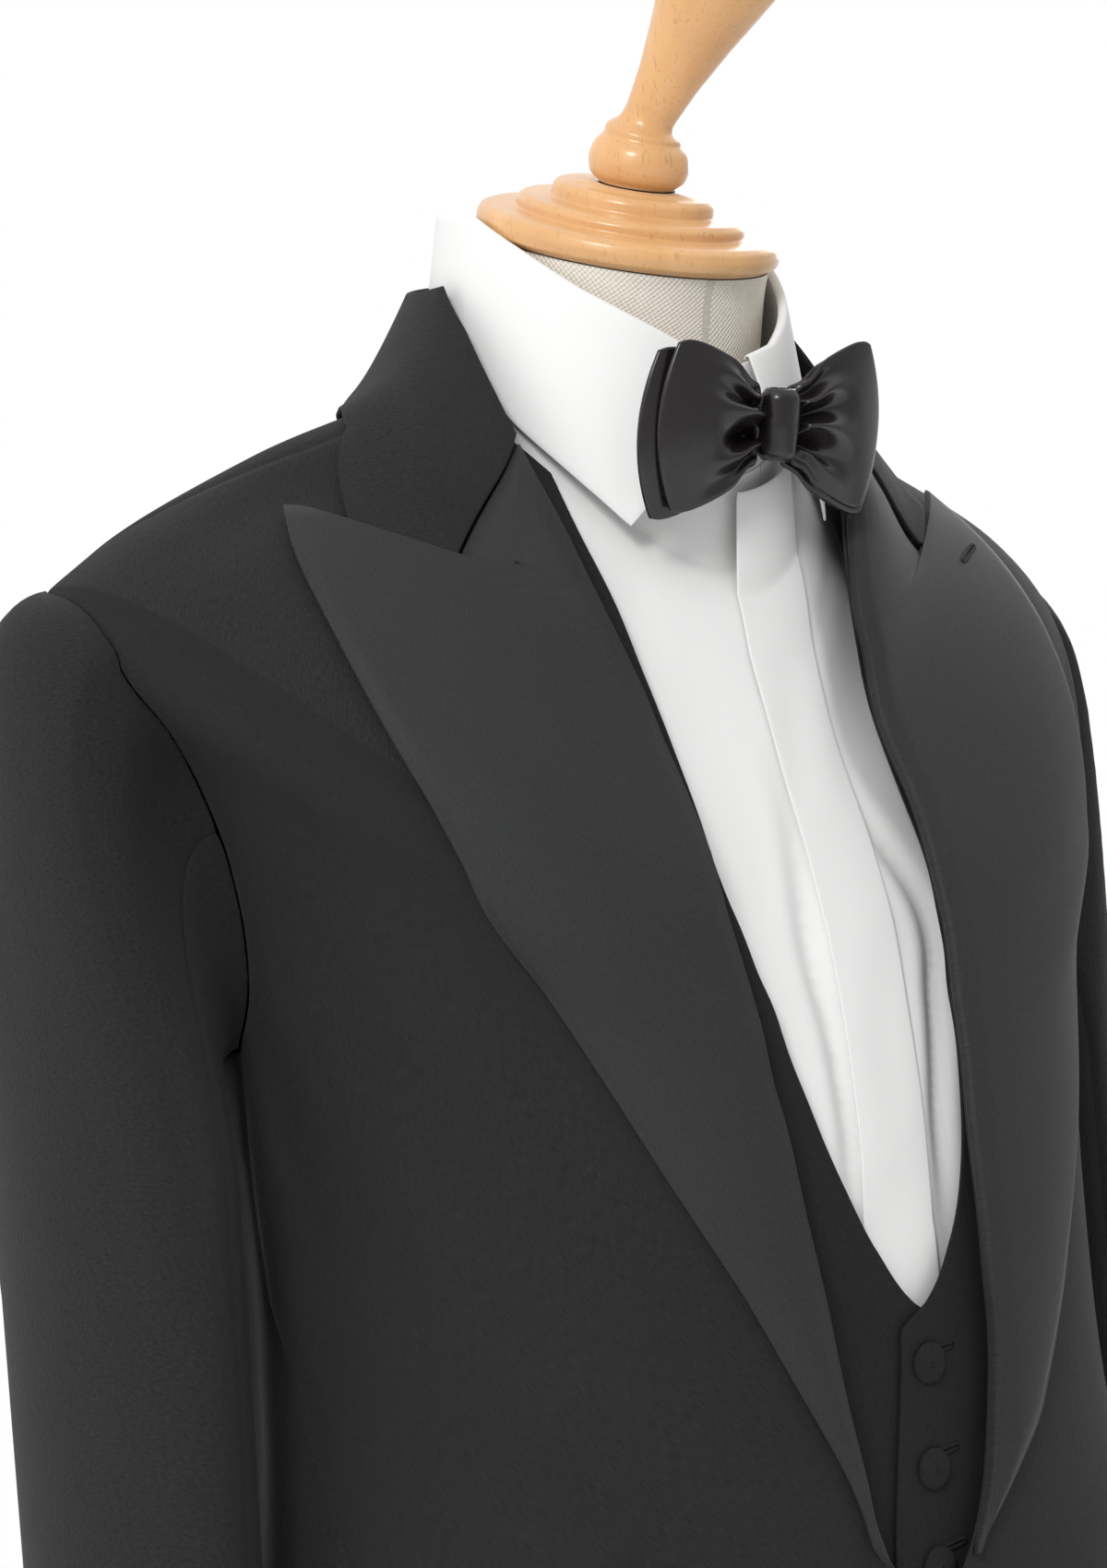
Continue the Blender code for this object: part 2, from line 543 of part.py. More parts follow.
def sleeve_normal(turn, along, *rest):
    side = rest[0]
    ahead = sleeve_surface(turn + 1, along, *rest) - sleeve_surface(turn - 1, along, *rest)
    down = sleeve_surface(turn, np.clip(along + 0.02, 0, 5), *rest)
    down = down - sleeve_surface(turn, np.clip(along - 0.02, 0, 5), *rest)
    normal = side * np.cross(ahead, down)
    return normal / np.linalg.norm(normal, axis=-1, keepdims=True)


def add_waistcoat(wool):
    front_end = joined(WAISTCOAT_SHOULDER, WAISTCOAT_ARM_FRONT, WAISTCOAT_SIDE)
    back_end = joined(WAISTCOAT_SHOULDER, WAISTCOAT_ARM_BACK, WAISTCOAT_SIDE)
    rows = stretches((0.5, WAISTCOAT_SHOULDER_END, 5), (WAISTCOAT_SHOULDER_END, WAISTCOAT_UNDERARM, 7),
                     (WAISTCOAT_UNDERARM, 9.9, 4))

    def lowered(angle, ring):
        share = eased(ring, 8.6, 9.9)
        return ring + WAISTCOAT_POINT_DROP * share * np.clip(1 - np.abs(angle - 8) / 70, 0, 1)

    for word, side in SIDES:
        under = WAISTCOAT_UNDERLAP if word == "right" else 0.0

        def depth(angle, ring, under=under):
            return WAISTCOAT_DEPTH + under * (1 - eased(angle, 4, 20)) * eased(ring, 5.5, 6.9)

        add_panel(
            f"waistcoat_front_{word}", side, rows, joined(WAISTCOAT_OPENING, WAISTCOAT_FRONT_EDGE),
            shifted(front_end, -1), FRONT_SHARES, depth, WAISTCOAT_WALL, wool, lowered,
        )
    start = back_end(rows)
    angle = start[:, None] + (360 - 2 * start)[:, None] * BACK_SHARES
    level = np.broadcast_to(rows[:, None], angle.shape)
    level = lowered(90.0 + 0 * angle, level)
    outer = torso(angle, level, WAISTCOAT_DEPTH)
    inner = torso(angle, level, WAISTCOAT_DEPTH + WAISTCOAT_WALL)
    add_wall("waistcoat_back", outer, inner, wool)


def placket_angle(ring, sideways):
    middle = table_at(PLACKET_MIDDLE, ring)
    return angle_of(middle + sideways, ring, SHIRT_DEPTH)


def add_shirt(cotton):
    rows = stretches((0.0, SHIRT_SHOULDER_END, 6), (SHIRT_SHOULDER_END, SHIRT_UNDERARM, 5), (SHIRT_UNDERARM, 10.6, 4))
    front_end = joined(SHIRT_SHOULDER, SHIRT_ARM_FRONT, SHIRT_SIDE)
    back_end = joined(SHIRT_SHOULDER, SHIRT_ARM_BACK, SHIRT_SIDE)
    for word, side in SIDES:
        add_panel(
            f"shirt_front_{word}", side, rows, lambda ring, side=side: side * placket_angle(ring, side * 0.4),
            shifted(front_end, -1), FRONT_SHARES, SHIRT_DEPTH, SHIRT_WALL, cotton,
        )
    start = back_end(rows)
    angle = start[:, None] + (360 - 2 * start)[:, None] * BACK_SHARES
    level = np.broadcast_to(rows[:, None], angle.shape)
    outer = torso(angle, level, SHIRT_DEPTH)
    inner = torso(angle, level, SHIRT_DEPTH + SHIRT_WALL)
    add_wall("shirt_back", outer, inner, cotton)
    across = np.linspace(-0.5, 0.5, 4) * PLACKET_WIDTH
    strip = np.concatenate([np.linspace(0.45, 6, 14), np.linspace(6, 9.6, 5)[1:]])
    angle = placket_angle(strip[:, None], across)
    level = np.broadcast_to(strip[:, None], angle.shape)
    outer = torso(angle, level, PLACKET_DEPTH)
    inner = torso(angle, level, PLACKET_DEPTH + PLACKET_WALL)
    add_wall("shirt_placket", outer, inner, cotton)


def collar_ring(place, heights, angle, inward):
    width, mid, front, back = COLLAR_PLAN[place]
    turn = np.radians(angle)
    reach = np.where(np.cos(turn) > 0, mid - front, back - mid) - inward
    high = table_at(heights, np.minimum(angle, 360 - angle))
    return np.stack([(width - inward) * np.sin(turn), mid - reach * np.cos(turn), high], axis=-1)


def between(first, last, rows):
    share = np.linspace(0, 1, rows)[:, None, None]
    return first + share * (last - first)


def add_shirt_collar(cotton):
    around = np.concatenate([
        np.array([LEAF_START, 13, 20, 30, 41, 45]), np.linspace(52, 308, 17),
        np.array([315, 319, 330, 340, 347, 360 - LEAF_START]),
    ])
    grids = []
    closed = np.concatenate([[STAND_START], around[1:-1], [360 - STAND_START]])
    seat = SHIRT_DEPTH - STAND_LIFT
    for inward, depth in ((STAND_INSET, seat - STAND_WALL), (STAND_INSET + STAND_WALL, seat)):
        fold = collar_ring("fold", FOLD_HEIGHTS, closed, inward)
        seam, foot = torso(closed, 0.0, depth), torso(closed, STAND_FOOT, depth)
        grids.append(np.concatenate([between(fold, seam, 3), foot[None]]))
    add_wall("shirt_collar_stand", *grids, cotton)
    grids = []
    for inward in (0.0, LEAF_WALL):
        fold = collar_ring("fold", FOLD_HEIGHTS, around, inward)
        grids.append(between(fold, collar_ring("leaf", LEAF_HEIGHTS, around, inward), 5))
    add_wall("shirt_collar_leaf", *grids, cotton)


def bow_wing(side, layer):
    """One layer of a wing, from the knot to its tip: layer 0 is the front one and 1 the back one."""
    out, up = np.meshgrid(np.linspace(0, 1, 8), np.linspace(-1, 1, 7), indexing="ij")
    longer = BOW_REACH + BACK_LAYER_LONGER * layer + BOW_TIP_CURVE * (1 - up**2) * out
    reach = BOW_START + longer * out
    half = BOW_HALF_START + BOW_HALF_GROWS * out**BOW_FLARE
    x = BOW_CENTRE[0] + side * reach
    z = BOW_CENTRE[2] + up * half - BACK_LAYER_LOWER * layer * out
    puff = BOW_PUFF * np.sin(np.pi * out) ** 0.8 * np.cos(up * 1.3)
    lean = (z - BOW_CENTRE[2]) * np.tan(np.radians(BOW_LEAN))
    y = BOW_CENTRE[1] + reach * np.tan(np.radians(BOW_SWEEP)) - puff + BACK_LAYER_BEHIND * layer - lean
    front = np.stack([x, y - BOW_WALL / 2, z], axis=-1)
    return front, front + np.array([0, BOW_WALL, 0])


def add_bow_tie(satin):
    for word, side in SIDES:
        for name, layer in (("front", 0), ("back", 1)):
            add_wall(f"bow_{name}_{word}", *bow_wing(side, layer), satin)
    centre = (BOW_CENTRE[0], BOW_CENTRE[1] - 2, BOW_CENTRE[2])
    lean = np.radians(BOW_LEAN)
    add_turned("bow_knot", KNOT_PROFILE, satin, 14, centre, (0, -np.sin(lean), np.cos(lean)))


def add_button(name, ring, depth, material):
    place = torso(0.0, ring, depth)
    out = place - torso(0.0, ring, depth + 1)
    profile = (
        (BUTTON_RADIUS * 0.7, 0.3), (BUTTON_RADIUS, 1.2), (BUTTON_RADIUS, BUTTON_THICK * 0.7),
        (BUTTON_RADIUS * 0.75, BUTTON_THICK), (BUTTON_RADIUS * 0.3, BUTTON_THICK * 1.15),
    )
    add_turned(name, profile, material, 14, place, out)


def bent_rings(profile, turn):
    """Rings of the finial: its spine leaves the cap along the cap's axis and bends to its own."""
    first = np.array(CAP_AXIS) / np.linalg.norm(CAP_AXIS)
    last = np.array(FINIAL_AXIS) / np.linalg.norm(FINIAL_AXIS)
    place = np.array(CAP_CENTRE) + (CAP_PROFILE[-1][1] + 0.4) * first
    height = 0.0
    rings = []
    for radius, top in profile:
        share = eased((height + top) / 2, *FINIAL_BEND)
        axis = first + share * (last - first)
        axis /= np.linalg.norm(axis)
        place = place + (top - height) * axis
        height = top
        share = eased(top, *FINIAL_BEND)
        axis = first + share * (last - first)
        axis /= np.linalg.norm(axis)
        ahead = np.cross(axis, (1, 0, 0))
        ahead /= np.linalg.norm(ahead)
        aside = np.cross(ahead, axis)
        rings.append(place + radius * (np.sin(turn) * aside - np.cos(turn) * ahead))
    return np.stack(rings)


def add_form(linen, beech):
    turn = np.linspace(0, 360, 22, endpoint=False)
    axis = np.array(CAP_AXIS) / np.linalg.norm(CAP_AXIS)
    ahead = np.cross(axis, (1, 0, 0))
    rad = np.radians(turn)[:, None]

    def neck_ring(radius, height):
        return np.array(CAP_CENTRE) + height * axis + radius * (
            np.sin(rad) * np.array([1, 0, 0]) - np.cos(rad) * ahead * np.sign(ahead[1])
        )

    levels = np.concatenate([[0.0, 0.5], np.linspace(1, 6, 9), np.linspace(6, FORM_BOTTOM, 6)[1:]])
    to_back = eased(180 - np.abs(turn - 180), 85, 105)
    neck_depth = FORM_DEPTH + (FORM_BACK_DEPTH - FORM_DEPTH) * to_back
    body_depth = neck_depth + (FORM_SHOULDER_DEPTH - neck_depth) * eased(levels[:, None], 0.8, 2)
    body = torso(turn, levels[:, None], body_depth)
    neck = np.stack([neck_ring(NECK_RADIUS, -6.4), neck_ring(NECK_RADIUS, -20), neck_ring(NECK_RADIUS - 2, -45)])
    neck[2] = 0.55 * neck[2] + 0.45 * body[0]
    low = body[-1].copy()
    low[:, 2] = low[:, 2].min()
    add_lofted("form_torso", np.concatenate([neck, body[:-1], low[None]]), linen)
    add_turned("form_neck_cap", CAP_PROFILE, beech, 24, CAP_CENTRE, CAP_AXIS)
    fine = np.linspace(0, 2 * np.pi, 18, endpoint=False)[:, None]
    add_lofted("form_finial", bent_rings(FINIAL_PROFILE, fine), beech)
    top = low[0, 2] - 0.4
    pole = ((POLE_RADIUS + 14, top), (POLE_RADIUS + 14, top - 8), (POLE_RADIUS, top - 20),
            (POLE_RADIUS, BASE_PROFILE[-1][1] + 0.4))
    add_turned("form_pole", pole, beech, 24)
    add_turned("form_base", BASE_PROFILE, beech, 24)


def add_lofted(name, rings, material):
    """A closed solid through rings of equal counts, with each end drawn to its middle."""
    count, size = rings.shape[:2]
    points = np.concatenate([rings.reshape(-1, 3), rings[:1].mean(axis=1), rings[-1:].mean(axis=1)])
    faces = []
    for row in range(count - 1):
        for col in range(size):
            a, b = row * size + col, row * size + (col + 1) % size
            faces.append((a, b, b + size, a + size))
    for col in range(size):
        after = (col + 1) % size
        low = (count - 1) * size
        faces.append((after, col, count * size))
        faces.append((low + col, low + after, count * size + 1))
    if mesh_volume(points, faces) < 0:
        faces = [tuple(reversed(face)) for face in faces]
    return add_solid(name, points, faces, material)


def build():
    clear_scene()
    wool = cloth("black_wool", (0.028, 0.028, 0.03), 0.85)
    facing = cloth("black_silk_facing", (0.045, 0.046, 0.05), 0.55)
    satin = cloth("black_satin", (0.02, 0.018, 0.02), 0.35)
    cotton = cloth("white_cotton", (0.85, 0.85, 0.85), 0.8)
    linen = cloth("natural_linen", (0.7, 0.64, 0.54), 0.9)
    beech = cloth("varnished_beech", (0.72, 0.42, 0.2), 0.35)
    add_jacket_trunk(wool)
    add_lapels(facing)
    add_collar(wool)
    add_sleeves(wool, cotton)
    add_waistcoat(wool)
    add_shirt(cotton)
    add_shirt_collar(cotton)
    add_bow_tie(satin)
    for number, ring in enumerate(WAISTCOAT_BUTTONS, 1):
        add_button(f"waistcoat_button_{number}", ring, WAISTCOAT_DEPTH, wool)
    add_button("jacket_button", JACKET_BUTTON, 0.0, facing)
    add_form(linen, beech)


build()
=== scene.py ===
"""The looks of the tuxedo on its dress form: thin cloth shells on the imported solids' own surfaces.

Sizes are in millimetres and heights are measured from the nape, as in the part's source. The wearer's
front faces -Y and the wearer's left is +X.
"""

import bpy
import numpy as np
from mathutils import Matrix


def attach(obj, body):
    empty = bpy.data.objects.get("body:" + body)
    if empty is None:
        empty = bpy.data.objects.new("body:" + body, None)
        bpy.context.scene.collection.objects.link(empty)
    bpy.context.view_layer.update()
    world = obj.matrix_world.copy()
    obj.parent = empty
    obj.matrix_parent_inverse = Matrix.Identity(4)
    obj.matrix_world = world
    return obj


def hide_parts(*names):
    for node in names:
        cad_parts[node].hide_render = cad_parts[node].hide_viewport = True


MM = 0.001
NAPE = 880.0
# The gap between neighbouring pieces, and the share of it that each back leaves at the middle of the back.
SEAM = 0.35
CENTRE_SEAM = 0.6
SIDES = (("right", -1), ("left", 1))

# How deep each layer's outer face lies under the jacket's outer face. The lapels and the collar lie above it,
# and the roll line comes down close to it. CLOTH_WALL is how thick the cloth is drawn.
WAISTCOAT_DEPTH = 8.8
SHIRT_DEPTH = 17.4
PLACKET_DEPTH = 15.5
PLACKET_WIDTH = 32.0
PLACKET_ENDS = (0.45, 9.6)
FORM_DEPTH = 20.6
FORM_BACK_DEPTH = 24.0
FORM_SHOULDER_DEPTH = 24.5
LAPEL_LIFT = 5.9
ROLL_GAP = 0.45
CLOTH_WALL = {"jacket": 1.4, "waistcoat": 1.1, "shirt": 0.7, "lapel": 1.6, "placket": 1.0}
# How much deeper a right front lies under the left one, and the angles and the rings over which that changes.
JACKET_OVERLAP = (3.2, (8, 24), (8.0, 9.0))
WAISTCOAT_OVERLAP = (2.4, (4, 20), (5.5, 6.9))
# How many points each panel has across it, and how much closer together they are at its edges.
EDGE_CROWDING = 0.6
COLUMNS = {"jacket_front": 64, "jacket_side": 26, "back": 60, "lapel": 44, "collar": 26, "top_sleeve": 72,
           "under_sleeve": 44, "tube": 72, "waistcoat_front": 60, "shirt_front": 84, "placket": 16}

# The jacket's outer face is a loft through closed rings round the trunk, from the neck seam to the hem.
# Each row has the half width, where the ring is widest, where it crosses the middle in front and behind, its
# heights in front, at the side and behind, and the exponent of its superellipse, 2 for an ellipse.
TORSO_RINGS = (
    ("neck seam", 78, 9, -72, 88, -78, 4, 8, 2.0),
    ("collar spread", 104, 19, -86, 98, -112, -8, -18, 2.0),
    ("mid shoulder", 150, 38, -102, 113, -167, -25, -64, 1.65),
    ("outer shoulder", 211, 54, -119, 129, -222, -57, -132, 2.08),
    ("shoulder end", 242, 60, -130, 136, -262, -92, -185, 1.9),
    ("upper armhole", 200, 51, -138, 136, -300, -148, -235, 2.0),
    ("lower armhole", 182, 40, -142, 134, -335, -225, -280, 2.13),
    ("chest", 177, 36, -143, 136, -370, -305, -335, 2.13),
    ("above waist", 181, 32, -140, 134, -420, -400, -405, 2.12),
    ("waist", 190, 30, -137, 135, -490, -490, -490, 2.25),
    ("hip", 200, 26, -135, 146, -590, -590, -590, 2.3),
    ("seat", 209, 25, -137, 157, -680, -680, -680, 2.3),
    ("hem", 215, 25, -139, 163, -765, -765, -765, 2.3),
)
HEM = 12.0

# The jacket collar's fold line, a ring of the same kind above the neck seam; the collar meets the
# trunk's own shape at FOLD_MEETS, and leaves it in the direction that the trunk has FOLD_PULL rings further.
FOLD_RING = (77, 4, -66, 84, -46, 36, 50, 2.0)
FOLD_MEETS, FOLD_PULL = 1.2, 0.5

# Seams and edges: ring is a place between the rings above (0 the neck seam, 12 the hem), and angle is in
# degrees round the trunk from the middle of the front.
ARMHOLE_TOP, ARMHOLE_LOW, ARMHOLE_FOOT = 3.45, 6.36, 0.03
SHOULDER_SEAM = ((0, 86), (1.6, 80), (2.46, 86), (3, 93), (ARMHOLE_TOP, 95))
ARMHOLE_FRONT = ((ARMHOLE_TOP, 95), (3.62, 82.4), (3.79, 76.8), (3.95, 74.4), (4.41, 75), (4.91, 80.4),
                 (5.41, 82.3), (5.78, 84.2), (6.1, 87), (ARMHOLE_LOW, 91))
ARMHOLE_BACK = ((ARMHOLE_TOP, 95), (3.8, 103), (4.5, 110), (5.2, 114), (5.9, 114), (ARMHOLE_LOW, 108))
FRONT_SEAM = ((ARMHOLE_LOW, 91), (7, 93.5), (7.4, 90.8), (7.75, 86.6), (8.1, 82.4), (8.45, 78.8), (10, 72),
              (12, 69))
BACK_SEAM = ((ARMHOLE_LOW, 108), (8, 117), (10, 119), (12, 117))
ROLL_LINES = {
    "right": ((0.7, 59), (0.78, 56.4), (1.08, 46.5), (1.44, 38.2), (1.83, 32), (2.2, 27.2), (2.46, 22.7),
              (2.76, 18.3), (3.21, 15.8), (4.08, 15.6), (4.93, 17), (5.86, 16.5), (7, 15.1), (7.61, 13.5),
              (8.09, 11.3), (8.42, 9.4), (8.7, 6), (9.1, -5)),
    "left": ((0.7, 52), (0.78, 40), (1, 29), (1.62, 23.7), (2.3, 18.4), (2.89, 11.6), (3.26, 10.1),
             (3.8, 9.5), (4.52, 9), (5.76, 7.5), (6.5, 7.2), (7.62, 7.2), (8.3, 4.8), (8.7, 1), (9.1, -6)),
}
# Where the fronts begin beside the neck, where the lapels end and where the jacket closes.
JACKET_FRONT_TOP, BREAK, CLOSING = 0.7, 8.6, 9.1
FRONT_CUT = ((CLOSING, -6), (9.4, -8), (9.9, -6.5), (10.6, 4), (11.3, 15), (11.8, 27), (12, 37))
LAPEL_EDGE = ((2.36, 71.1), (2.59, 65.7), (2.95, 55.7), (3.45, 45.2), (3.66, 42.4), (4.11, 40.2),
              (4.85, 40.8), (5.19, 39.6), (6.04, 32.5), (6.78, 25.9), (7.43, 19.9), (8.24, 11.8), (8.6, 9.2))
LAPEL_TIP, LAPEL_CORNER, NOTCH, GORGE_TOP = (2.36, 71.1), (2.25, 64.1), (2.09, 52.2), (0.78, 56.4)
LAPEL_ROWS = {"edge": 90, "top": 24, "gorge": 26}
# The roll line's rings beside the tip, beside the notch and at the top; how far the lapel runs up the gorge.
ROLL_STOPS, GORGE_SHARE = (1.75, 1.3, 0.8), 0.93
# How the lapels and the collar rise and fall over their width: a height, or a height and its reach.
LAPEL_BELLY, LAPEL_ROLL_LIFT, LAPEL_EDGE_LIFT = 1.5, (-1.7, 4.5), (-1.6, 5.0)
COLLAR_BELLY, COLLAR_EDGE_LIFT = 0.8, (-1.5, 5.0)
COLLAR_END_FADE = 0.2
# Over how many rings each lapel narrows to its lower end, and how wide the end is.
LAPEL_TAPERS, LAPEL_END = {"right": 0.15, "left": 0.75}, 0.06
NOTCH_GAP = (0.03, 0.7)

# The collar's fold and fall edges: angle round the neck, and the ring where the edge lies.
COLLAR_FOLD = ((57, 0.77), (64, 0.59), (76, 0.3), (92, 0.0), (180, 0.0))
COLLAR_FALL = ((64.1, 2.25), (78.5, 1.54), (90, 1.28), (106, 1.1), (140, 0.98), (180, 0.93))

WAISTCOAT_OPENING = ((0.5, 50), (1.28, 34.5), (1.75, 28.8), (2.1, 24.3), (2.54, 18), (3.03, 13), (3.6, 11.7),
                     (4.5, 11.4), (5.1, 10.6), (5.67, 8.4), (6.27, 5.2), (6.9, 0.4), (7.1, -3.1))
WAISTCOAT_FRONT_EDGE = ((7.1, -3.1), (9.3, -3.1), (9.9, 3))
WAISTCOAT_TOP, WAISTCOAT_SHOULDER_END, WAISTCOAT_UNDERARM, WAISTCOAT_HEM = 0.5, 2.5, 6.7, 9.9
WAISTCOAT_SHOULDER = ((WAISTCOAT_TOP, 96), (WAISTCOAT_SHOULDER_END, 95))
WAISTCOAT_ARM_FRONT = ((WAISTCOAT_SHOULDER_END, 95), (3, 80), (4.2, 62), (5.2, 60), (6.1, 67),
                       (WAISTCOAT_UNDERARM, 92))
WAISTCOAT_ARM_BACK = ((WAISTCOAT_SHOULDER_END, 95), (3, 112), (4.2, 125), (5.2, 127), (6.1, 118),
                      (WAISTCOAT_UNDERARM, 93))
WAISTCOAT_SIDE = ((WAISTCOAT_UNDERARM, 92), (WAISTCOAT_HEM, 92))
WAISTCOAT_POINT = {"rings": (8.6, WAISTCOAT_HEM), "angle": 8, "reach": 70, "drop": 0.5}
SHIRT_SHOULDER_END, SHIRT_UNDERARM, SHIRT_HEM = 3.5, 6.1, 10.6
SHIRT_SHOULDER = ((0, 92), (SHIRT_SHOULDER_END, 95))
SHIRT_ARM_FRONT = ((SHIRT_SHOULDER_END, 95), (3.8, 88), (4.3, 86), (5, 88), (5.7, 91), (SHIRT_UNDERARM, 96))
SHIRT_ARM_BACK = ((SHIRT_SHOULDER_END, 95), (3.8, 99), (4.4, 104), (5.1, 107), (5.7, 104),
                  (SHIRT_UNDERARM, 96))
SHIRT_SIDE = ((SHIRT_UNDERARM, 96), (SHIRT_HEM, 94))
FRONTS_APART = 0.4

# The placket's middle: ring, and millimetres to the wearer's left.
PLACKET_MIDDLE = ((0.3, 15), (1, 13.5), (2.4, 14), (3, 12.5), (4.4, 6), (6, -1), (SHIRT_HEM, -1))

# Sleeves: the height of each ring, its centre, and its half sizes across and along the body.
SLEEVE_RINGS = (
    ("upper arm", -300, 228, 58, 33, 71),
    ("above elbow", -420, 231, 56, 34, 67),
    ("elbow", -520, 236, 52, 34, 61),
    ("forearm", -620, 243, 41, 34, 57),
    ("cuff", -712, 252, 28, 33, 53),
)
SLEEVE_GAP = 0.5
SHIRT_SLEEVE_GAP = 4.0
SHIRT_SLEEVE_INSET = 8.0
SHIRT_CUFF_SHOWS = 14.0
SHIRT_SLEEVE_ROWS = ((0, 1, 15), (1, 4.29, 25))
SHIRT_CUFF_ROWS = np.array([4.3, 4.4, 4.6, 4.8, 5.0, 5.03, 5.07, 5.11, 5.15])
TOP_SLEEVE = (-106.0, 104.0)
SLEEVE_SEAM_TURN = 0.5
# The cap leaves the armhole outwards and a little down, and meets the first ring straight down: how hard each
# end pulls. The head's fullness has a height, a reach and its middle along the sleeve.
CAP_OUTWARD, CAP_PULLS = (0.985, -0.17), (0.72, 0.9)
SLEEVE_HEAD = (1.6, 0.13, 0.16)

# The shirt collar's fold and the leaf's lower edge: half width, middle, front and back of each, and their
# heights by the angle from the middle of the front.
COLLAR_PLAN = {"fold": (66, -2, -77, 66), "leaf": (75, 2, -85, 78)}
FOLD_HEIGHTS = ((0, -6), (20, 1), (36, 13), (51, 25), (70, 43), (90, 61), (130, 71), (180, 75))
LEAF_HEIGHTS = ((0, -24), (20, -38), (41, -66), (49, -54), (60, -38), (70, -24), (90, 8), (180, 20))
STAND_FOOT, STAND_START = 0.35, 1.2
STAND_WALL, STAND_INSET, STAND_LIFT, STAND_BELOW_FOLD = 1.4, 2.4, 1.5, 1.6
LEAF_START, LEAF_ROLL, LEAF_SETTLES = 6.0, 2.0, 0.4
# How much higher the shirt lies at its neck, how far its fronts climb the collar stand, and how far the
# fronts and the placket lie outside it.
NECK_LIFT, NECK_CLIMB = 4.2, 0.42
NECK_LIFT_ENDS, NECK_CLIMB_ENDS = (0.4, 1.3), (38, 62)
FRONT_OVER_STAND, PLACKET_OVER_STAND = 0.9, 2.9

# The bow tie: its knot, how a wing grows from the knot to its tip, and how the back layer differs.
BOW_CENTRE = (3.5, -91, -32)
BOW_SWEEP = 3.0
BOW_START, BOW_REACH, BOW_TIP_CURVE = 8.6, 39.0, 7.0
BOW_HALF_START, BOW_HALF_GROWS, BOW_FLARE = 13.0, 20.5, 0.62
BOW_PUFF = 7.0
BOW_FRONT, BOW_WALL = 1.2, 1.5
BOW_LEAN = 13.0
BOW_TIP_ROUND, BOW_WAIST = 0.1, (0.14, 0.12, 0.14)
PLEAT_WIDENS, RIDGE_HEIGHT, RIDGE_AWAY = 0.8, 0.45, 1.8
BACK_LAYER_LONGER, BACK_LAYER_BEHIND, BACK_LAYER_LOWER, BACK_LAYER_FLATTER = 5.0, 5.6, 2.0, 0.55
KNOT_AHEAD, KNOT_HALF_HEIGHT, KNOT_WALL = 2, 13.3, 1.2
KNOT_HEIGHTS, KNOT_RADII = (0, 11, 13.5), (8.2, 7.5, 5.8)
KNOT_PLEAT, KNOT_PLEAT_TURNS, KNOT_PLEAT_LEANS = 0.35, 3, 0.12

# Buttons: their places on the middle of the front, as rings, and a button's outline as shares of its radius
# with heights in millimetres. Buttonholes: the angle and ring of their middle, and of a point further along.
WAISTCOAT_BUTTONS = (7.4, 8.12, 8.67, 9.18)
JACKET_BUTTON = 9.45
BUTTON_RADIUS = 7.6
BUTTON_PROFILE = ((0.7, 0.3), (1, 1.0), (1, 1.798), (0.86, 2.755), (0.5, 3.48), (0.12, 3.77))
HOLE_LIFT, HOLE_END, HOLE_ROUNDS, HOLE_BULGE = 0.2, 1.2, 0.625, 0.54
THREAD, THREAD_RIDGE, HOLE_STITCHES = 0.7, 0.16, 48
WAISTCOAT_HOLE, WAISTCOAT_HOLE_TO, WAISTCOAT_HOLE_LENGTH = (2.2, -0.09), (4.2, -0.1), 12.0
LAPEL_HOLE, LAPEL_HOLE_TO, LAPEL_HOLE_LENGTH = (57.0, 2.44), (51.0, 2.3), 20.0
LAPEL_HOLE_LIFT = 1.0

# The dress form's wood and stand: radius and height along each piece's own axis.
CAP_CENTRE = (0, -17, 55)
CAP_AXIS = (0, -0.375, 0.927)
CAP_PROFILE = ((57, -6), (60.5, -4), (61, 0), (60, 3.5), (57, 5), (46, 5.4), (46, 9), (43.5, 11), (33, 11.4),
               (32.5, 16), (30.5, 18), (16, 19))
NECK_RADIUS = 57.5
NECK_ENDS, NECK_BLEND, NECK_STEPS = ((0, -6.4), (0, -20), (-2, -45)), 0.45, (8, 12, 16)
# Where the torso turns from its front depth to its back depth, in degrees, and the rings over which it takes
# the shoulders' depth.
FORM_BACK_STARTS, FORM_SHOULDER_STARTS = (85, 105), (0.8, 2)
FINIAL_BEND = (14, 32)
FINIAL_AXIS = (0.22, -0.56, 0.8)
FINIAL_PROFILE = ((15, 0), (19, 3), (20.5, 9), (19, 15), (15.5, 18.5), (15.5, 21), (11, 24), (10.2, 28),
                  (12.5, 44), (17, 64), (24, 90), (25, 94), (22, 97.5))
WOOD_GAP = 0.4
CORNER_STEPS, CORNER_RADIUS = 6, 1.1
FACES_SAMPLED = 4000
FINIAL_CORNER_STEPS, FINIAL_CORNER_RADIUS = 5, 2.5
FORM_BOTTOM = 11.1
POLE_RADIUS = 24.0
POLE_COLLAR = ((14, 0), (14, 8), (0, 20))
BASE_PROFILE = ((165, -880), (170, -877), (170, -866), (164, -858), (120, -853), (60, -848), (34, -838))


RINGS = np.array([row[1:] for row in TORSO_RINGS], float)
SLEEVES = np.array([row[1:] for row in SLEEVE_RINGS], float)
FOLD = np.array(FOLD_RING, float)


def unit(vector):
    """Vectors of length 1 in the same directions."""
    return vector / np.linalg.norm(vector, axis=-1, keepdims=True)


